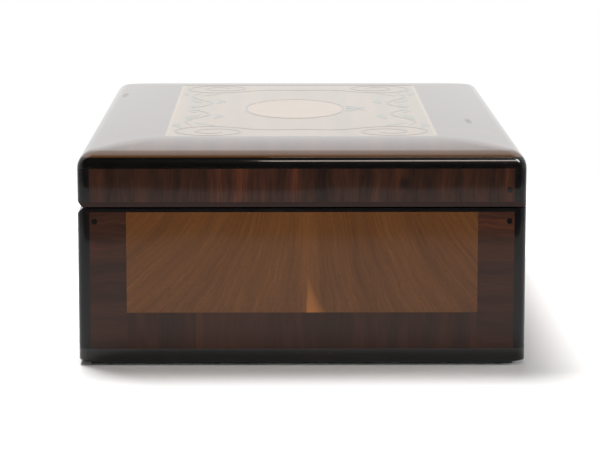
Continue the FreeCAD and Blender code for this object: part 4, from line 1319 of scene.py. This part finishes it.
    def lay_ground(self) -> None:
        """Lays the light ground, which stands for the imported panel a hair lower."""
        columns, rows = self.ground_steps
        points, faces = [], []
        for level in (self.top - self.ground_sink, self.top - self.ground_thick):
            for j in range(rows + 1):
                y = self.half[1] * (2 * j / rows - 1)
                points += [(self.half[0] * (2 * i / columns - 1), y, level) for i in range(columns + 1)]
        row, layer = columns + 1, (columns + 1) * (rows + 1)
        for j in range(rows):
            for i in range(columns):
                a = j * row + i
                b = layer + a
                faces.append((a, a + 1, a + row + 1, a + row))
                faces.append((b, b + row, b + row + 1, b + 1))
        rim = list(range(row)) + [j * row + columns for j in range(1, rows + 1)]
        rim += [rows * row + i for i in range(columns - 1, -1, -1)]
        rim += [j * row for j in range(rows - 1, 0, -1)]
        faces += [(a, layer + a, layer + b, b) for a, b in zip(rim, rim[1:] + rim[:1])]
        ground = make_piece("inlay_ground", (points, faces), SATINWOOD, "lid")
        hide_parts("lid_panel")

    def lay_stringing(self) -> None:
        """Lays the light stringing round the panel."""
        x, y = self.half[0] - self.string_inset, self.half[1] - self.string_inset
        edge = [(sx * x, sy * y) for sx, sy in CORNERS]
        widths = [self.string_width] * 2
        strips = []
        for k, start in enumerate(edge):
            strips.append(self.ribbon([start, edge[(k + 1) % 4]], widths, self.string_sinks[k % 2]))
        self.inlay("inlay_stringing", strips, BOXWOOD)

    def lay_oval(self) -> None:
        """Lays the oval's dark line, the light one round it and the warm field inside."""
        rim = self.ellipse(0)
        line = self.ribbon(rim, [self.oval_line] * len(rim), 0.0, True)
        self.inlay("inlay_oval_line", [line], ROSEWOOD_LINE)
        outer = self.ellipse(self.oval_string_gap)
        string = self.ribbon(outer, [self.oval_string] * len(outer), self.oval_string_sink, True)
        self.inlay("inlay_oval_string", [string], BOXWOOD)
        inner = self.ellipse(-self.oval_field_gap)
        count = len(inner)
        levels = (self.top - self.oval_field_sink, self.top - self.thick)
        points = [(x, y, level) for level in levels for x, y in inner]
        faces = [tuple(range(count)), tuple(range(count, 2 * count))[::-1]]
        for k in range(count):
            after = (k + 1) % count
            faces.append((k, count + k, count + after, after))
        self.inlay("inlay_oval_field", [(points, faces)], TULIPWOOD)

    def lay_scrolls(self) -> None:
        """Lays a volute in each corner and a wavy line along each long side."""
        corner = self.curve([
            (103, 0), (104.5, 10), (105, 19), (101.5, 28), (95, 36), (90.5, 45), (89.5, 54), (95, 64),
            (107, 70), (120, 68), (129, 59), (130, 47), (124, 37), (114, 34), (105, 38), (101, 46),
            (104, 55), (112, 59), (120, 55), (121, 48), (116, 44),
        ], 8)
        first, second = self.scroll_sinks
        lines = self.four_ways(corner, self.taper(len(corner), *self.volute_widths), first)
        side = self.curve([(84, 62), (68, 66), (52, 62), (34, 54), (18, 56), (6, 64)])
        lines += self.four_ways(side, self.taper(len(side), *self.wave_widths), second)
        self.inlay("inlay_scroll_lines", lines, ROSEWOOD_LINE)

    def lay_leaves(self) -> None:
        """Lays small pointed leaves beside the scrolls."""
        sprays = (
            ((28, 50), (38, 47), (52, 50)), ((30, 58.5), (42, 64), (56, 66)), ((4, 60), (12, 64), (22, 61)),
            ((70, 61), (78, 55), (86, 49)), ((72, 69), (84, 71), (94, 68)),
        )
        leaves = []
        for number, spray in enumerate(sprays):
            path = self.curve(list(spray), 8)
            widths = self.taper(len(path), *self.leaf_widths)
            leaves += self.four_ways(path, widths, self.leaf_sink + self.leaf_step * number)
        self.inlay("inlay_leaves", leaves, GREEN_SYCAMORE)

    def lay_bow(self) -> None:
        """Lays a small ribbon bow at the oval's front edge."""
        strips = []
        for side, sinks in zip((1, -1), self.bow_sinks):
            knots = ((0, -28), (4, -31), (10, -32), (11, -28), (5, -27), (0, -28))
            loop = self.curve([(side * x, y) for x, y in knots], 8)
            strips.append(self.ribbon(loop, self.taper(len(loop), *self.loop_widths), sinks[0]))
            knots = ((0, -28.5), (4, -33), (3, -36), (8, -39))
            tail = self.curve([(side * x, y) for x, y in knots], 8)
            strips.append(self.ribbon(tail, self.taper(len(tail), *self.tail_widths), sinks[1]))
        self.inlay("inlay_bow", strips, BLUE_SYCAMORE)


@dataclass(frozen=True)
class Screw:
    """The sizes of a slotted screw in millimetres, and how its head is cut, as shares of its own size."""

    radius: float
    height: float
    shank_radius: float
    shank_length: float
    slot_share: float = 0.12
    slot_floor: float = 0.5
    overlap: float = 0.02
    chamfer_share: float = 0.12
    chamfer_inset: float = 0.9
    shank_share: float = 0.97
    steps: int = 32

    def stages(self) -> list[tuple[float, float, list[Point]]]:
        """Draws the shank, the lower head and the two halves beside the slot.

        Returns:
            For each, its lower and upper level and its outline.
        """
        turns = [2 * math.pi * k / self.steps for k in range(self.steps)]
        circle = [(math.cos(turn), math.sin(turn)) for turn in turns]
        start = math.asin(self.slot_share)
        arc = [start + (math.pi - 2 * start) * k / self.steps for k in range(self.steps + 1)]
        upper = [(self.radius * math.cos(turn), self.radius * math.sin(turn)) for turn in arc]
        lower = [(-x, -y) for x, y in upper]
        split = self.slot_floor * self.height
        shank = self.shank_radius * self.shank_share
        return [
            (-self.shank_length, 0.0, [(shank * x, shank * y) for x, y in circle]),
            (0.0, split + self.overlap, [(self.radius * x, self.radius * y) for x, y in circle]),
            (split, self.height, upper),
            (split, self.height, lower),
        ]


@dataclass
class Movement:
    """The clockwork under the glass lid: cylinder, comb, barrel, governor and levers on a bedplate."""

    axis_z: float = 46.0
    bed_top: float = 18.0
    comb_top: float = 47.0
    barrel_y: float = 30.6
    bed_screw_x: Point = (-100.0, 100.0)
    bed_screw_y: Point = (-76.0, 69.0)
    comb_screws: int = 5
    comb_screw_start: float = -36.0
    comb_screw_pitch: float = 25.0
    comb_screw_y: float = -73.0
    plate_x: float = 130.0
    plate_screw_y: Point = (-26.0, 6.0)
    click_x: float = -131.0
    click_reach: float = 25.0
    click_degrees: float = 65.0
    slot_start: float = 15.0
    slot_turn: float = 37.0
    cylinder_left: float = -46.0
    cylinder_radius: float = 21.5
    pitch: float = 2.5
    lanes: int = 48
    lane_start: float = 0.3
    pins_per_lane: int = 26
    pinned_degrees: float = 330.0
    pin_tip: float = 22.4
    pin_radius: float = 0.3
    pin_tip_radius: float = 0.16
    pin_root: float = 0.1
    pin_chamfer: float = 0.15
    pin_sides: int = 6
    smooth_degrees: float = 30.0

    def dress(self) -> None:
        """Gives the movement's nodes their metals."""
        dress_nodes(
            BRASS, "bedplate", "comb_base", "left_bearings", "right_bearing", "governor_frame",
            "governor_cock", "lever_plate", "great_wheel", "tune_star", "spring_barrel", "barrel_wheel",
            "governor_wheel", "fly_wings", "stop_lever", "change_lever", "inner_lid_fittings",
        )
        dress_nodes(
            STEEL, "comb", "cylinder_arbor", "mainspring", "winding_arbor", "winding_lever", "click",
            "worm_spindle",
        )
        dress_nodes(CYLINDER_BRASS, "pin_cylinder")
        dress_nodes(GLASS, "inner_lid_glass")
        dress_nodes(CARCASS[Grain.ALONG_X], "inner_lid_frame")

    def build(self) -> None:
        """Makes the slotted screws and the finer pins."""
        self.build_screws()
        self.build_pins()

    def screw_places(self) -> list[tuple[Screw, Spot, int]]:
        """Gives every screw of the movement with its place.

        Returns:
            For each, the screw, its seat, and the way along X that its head faces, or 0 for upwards.
        """
        bed = Screw(5.0, 3.0, 2.4, 8.0)
        comb = Screw(3.4, 2.04, 1.8, 12.0)
        plate = Screw(3.6, 1.5, 2.0, 6.0)
        stud = Screw(2.6, 1.0, 1.5, 7.0)
        seats = [(bed, (x, y, self.bed_top), 0) for x in self.bed_screw_x for y in self.bed_screw_y]
        for k in range(self.comb_screws):
            x = self.comb_screw_start + self.comb_screw_pitch * k
            seats.append((comb, (x, self.comb_screw_y, self.comb_top), 0))
        seats += [(plate, (self.plate_x, y, self.axis_z), 1) for y in self.plate_screw_y]
        turn = math.radians(self.click_degrees)
        y = self.barrel_y + self.click_reach * math.cos(turn)
        seats.append((stud, (self.click_x, y, self.axis_z + self.click_reach * math.sin(turn)), -1))
        return seats

    def build_screws(self) -> None:
        """Makes every screw with a slotted, chamfered head, each slot turned another way."""
        points, faces = [], []
        for number, (screw, seat, way) in enumerate(self.screw_places()):
            turn = math.radians(self.slot_turn * number + self.slot_start)
            for low, high, ring in screw.stages():
                faces += stack_faces(len(points), 3, len(ring))
                shoulder = high - screw.chamfer_share * screw.height
                for level, inset in ((low, 1.0), (shoulder, 1.0), (high, screw.chamfer_inset)):
                    for u, v in ring:
                        across = (u * math.cos(turn) - v * math.sin(turn)) * inset
                        up = (u * math.sin(turn) + v * math.cos(turn)) * inset
                        spot = (level * way, across, up) if way else (across, up, level)
                        points.append(tuple(a + b for a, b in zip(seat, spot)))
        screws = make_piece("slotted_screws", (points, faces), BLUED, "case", self.smooth_degrees)
        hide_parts("movement_screws")

    def build_pins(self) -> None:
        """Sets fine steel pins in every lane of the cylinder, spread by a fixed rule."""
        rng = random.Random(5)
        points, faces = [], []
        # Each ring's distance from the cylinder's axis, and its radius
        rings = (
            (self.cylinder_radius - self.pin_root, self.pin_radius),
            (self.pin_tip - self.pin_chamfer, self.pin_radius),
            (self.pin_tip, self.pin_tip_radius),
        )
        around = [2 * math.pi * k / self.pin_sides for k in range(self.pin_sides)]
        for lane in range(self.lanes):
            x = self.cylinder_left + self.pitch * (lane + self.lane_start)
            for _ in range(self.pins_per_lane):
                turn = math.radians(rng.uniform(0, self.pinned_degrees))
                faces += stack_faces(len(points), len(rings), self.pin_sides)
                for reach, radius in rings:
                    for angle in around:
                        side = radius * math.sin(angle)
                        y = -reach * math.sin(turn) + side * math.cos(turn)
                        z = reach * math.cos(turn) + side * math.sin(turn)
                        points.append((x + radius * math.cos(angle), y, self.axis_z + z))
        pins = make_piece("cylinder_steel_pins", (points, faces), PIN_STEEL, "cylinder")
        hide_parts("cylinder_pins")


@dataclass
class Fittings:
    """The hinges and the lock."""

    def dress(self) -> None:
        """Gives the fittings their metals."""
        dress_nodes(BRASS, "hinge_leaves_lower", "hinge_leaves_upper")
        dress_nodes(BRASS, "escutcheon", "lock_case", "lock_staple")
        dress_nodes(STEEL, "hinge_pins", "lock_bolt")


@dataclass(frozen=True)
class Lamp:
    """A soft lamp: its place and target are in millimetres, its size in metres and its power in watts."""

    name: str
    place: Spot
    target: Spot
    size: Point
    power: float
    mirrored: bool = False
    lights_matt: bool = True
    colour: Spot = (1.0, 1.0, 1.0)

    def hang(self) -> None:
        """Hangs the lamp out of the camera's sight."""
        data = bpy.data.lights.new(self.name, "AREA")
        data.shape = "RECTANGLE"
        data.size, data.size_y = self.size
        data.energy = self.power
        data.color = self.colour
        lamp = bpy.data.objects.new(self.name, data)
        lamp.location = Vector(self.place) * MM
        aim = Vector(self.target) - Vector(self.place)
        lamp.rotation_euler = aim.to_track_quat("-Z", "Y").to_euler()
        lamp.visible_camera = False
        lamp.visible_glossy = self.mirrored
        lamp.visible_diffuse = self.lights_matt
        bpy.context.scene.collection.objects.link(lamp)


# Soft daylight from above, the left end and the front, and two small lights in the polish
LAMPS = (
    Lamp("key", (460, 260, 1560), (0, 0, 0), (0.8, 0.8), 42.0),
    Lamp("fill", (-2700, 200, 210), (-180, 0, 60), (1.6, 0.4), 25.0),
    Lamp("front", (-250, -2500, 900), (0, -120, 60), (2.0, 0.8), 38.0),
    Lamp("strip", (-790, -130, 765), (-180, -60, 112), (0.34, 0.09), 1.1, True, colour=(1.0, 0.86, 0.76)),
    Lamp("glint", (-632, -435, 822), (-178, -117, 113), (0.3, 0.3), 5.0, True, lights_matt=False),
)


@dataclass
class Studio:
    """A pale table under soft lamps, with a white backdrop behind it, seen from the left end of the box."""

    eye: Spot = (-1559.1, 11.2, 295.1)
    pitch: float = 9.002
    yaw: float = 0.419
    lens: float = 156.9
    sensor: float = 36.0
    table_half: float = 800.0
    table_white: float = 0.9
    table_fade: Point = (360.0, 600.0)
    soft_light: float = 0.15
    backdrop_light: Point = (0.02, 1.54)

    def build(self) -> None:
        """Sets the camera, the table, the world and the lamps."""
        bpy.context.scene.view_settings.view_transform = "Standard"
        self.set_camera()
        self.set_table()
        self.set_world()
        for lamp in LAMPS:
            lamp.hang()

    def set_camera(self) -> None:
        """Stands the camera where the photograph was taken."""
        data = bpy.data.cameras.new("camera")
        data.lens = self.lens
        data.sensor_width = self.sensor
        camera = bpy.data.objects.new("camera", data)
        pitch, yaw = math.radians(self.pitch), math.radians(self.yaw)
        level = math.cos(pitch)
        ahead = Vector((level * math.cos(yaw), -level * math.sin(yaw), -math.sin(pitch)))
        camera.location = Vector(self.eye) * MM
        camera.rotation_euler = ahead.to_track_quat("-Z", "Y").to_euler()
        bpy.context.scene.collection.objects.link(camera)
        bpy.context.scene.camera = camera

    def set_table(self) -> None:
        """Lays the pale table."""
        mesh = bpy.data.meshes.new("table")
        half = self.table_half * MM
        corners = [(-half, -half, 0), (half, -half, 0), (half, half, 0), (-half, half, 0)]
        mesh.from_pydata(corners, [], [(0, 1, 2, 3)])
        paint = bpy.data.materials.new("matt_white_table")
        paint.use_nodes = True
        tree = paint.node_tree
        shader = tree.nodes["Principled BSDF"]
        white = (self.table_white, self.table_white, self.table_white, 1.0)
        join(tree, shader, {"Base Color": white, "Roughness": 0.9, "Specular IOR Level": 0.0})
        # Far from the box the eye sees plain white, so that the table has no edge
        place = add_node(tree, "ShaderNodeTexCoord").outputs["Object"]
        far = add_node(tree, "ShaderNodeVectorMath", {0: place}, operation="LENGTH")
        start, end = self.table_fade
        far = add_node(tree, "ShaderNodeMapRange", {0: far.outputs["Value"], 1: start * MM, 2: end * MM})
        path = add_node(tree, "ShaderNodeLightPath")
        share = add_node(tree, "ShaderNodeMath", {
            0: far, 1: path.outputs["Is Camera Ray"],
        }, operation="MULTIPLY")
        glow = add_node(tree, "ShaderNodeEmission", {"Strength": 1.0})
        both = add_node(tree, "ShaderNodeMixShader", {0: share, 1: shader, 2: glow})
        join(tree, tree.nodes["Material Output"], {0: both})
        mesh.materials.append(paint)
        table = bpy.data.objects.new("table", mesh)
        bpy.context.scene.collection.objects.link(table)

    def set_world(self) -> None:
        """Surrounds the scene with soft light, and with a white backdrop for the eye and the polish."""
        world = bpy.data.worlds.new("studio")
        bpy.context.scene.world = world
        world.use_nodes = True
        tree = world.node_tree
        path = add_node(tree, "ShaderNodeLightPath")
        spot = add_node(tree, "ShaderNodeTexCoord")
        way = add_node(tree, "ShaderNodeSeparateXYZ", {0: spot.outputs["Generated"]})
        # Polished faces see a sheet behind the box, brighter high up, and dimmer ones at its sides
        behind = add_node(tree, "ShaderNodeMapRange", {0: way.outputs[0], 1: -0.15, 2: 0.15})
        high = add_node(tree, "ShaderNodeMapRange", {0: way.outputs[2], 1: 0.6, 2: 0.95, 3: 1.0, 4: 1.35})
        sheet = add_node(tree, "ShaderNodeMath", {0: behind, 1: high}, operation="MULTIPLY")
        aside = add_node(tree, "ShaderNodeMath", {0: way.outputs[1]}, operation="ABSOLUTE")
        aside = add_node(tree, "ShaderNodeMapRange", {0: aside, 1: 0.55, 2: 0.85, 3: 0.0, 4: 0.6})
        sheet = add_node(tree, "ShaderNodeMath", {0: sheet, 1: aside}, operation="MAXIMUM")
        mirrored = add_node(tree, "ShaderNodeMapRange", {
            0: sheet, 1: 0.0, 2: 2.0, 3: self.backdrop_light[0], 4: self.backdrop_light[1],
        })
        shiny = add_node(tree, "ShaderNodeMath", {
            0: path.outputs["Is Glossy Ray"], 1: path.outputs["Is Transmission Ray"],
        }, operation="MAXIMUM")
        light = add_node(tree, "ShaderNodeMix", {0: shiny, 2: self.soft_light, 3: mirrored})
        light = add_node(tree, "ShaderNodeMix", {0: path.outputs["Is Camera Ray"], 2: light, 3: 1.0})
        join(tree, tree.nodes["Background"], {"Color": (1, 1, 1, 1), "Strength": light})


def main() -> None:
    """Builds and dresses each part of the box in order."""
    logging.basicConfig(level=logging.INFO, format="%(name)s %(message)s")
    case, lid, movement = CaseWork(), LidWork(), Movement()
    for work in (case, lid, movement, Fittings()):
        work.dress()
    for work in (case, lid, Marquetry(), movement):
        work.build()
    Studio().build()


if __name__ == "__main__":
    main()
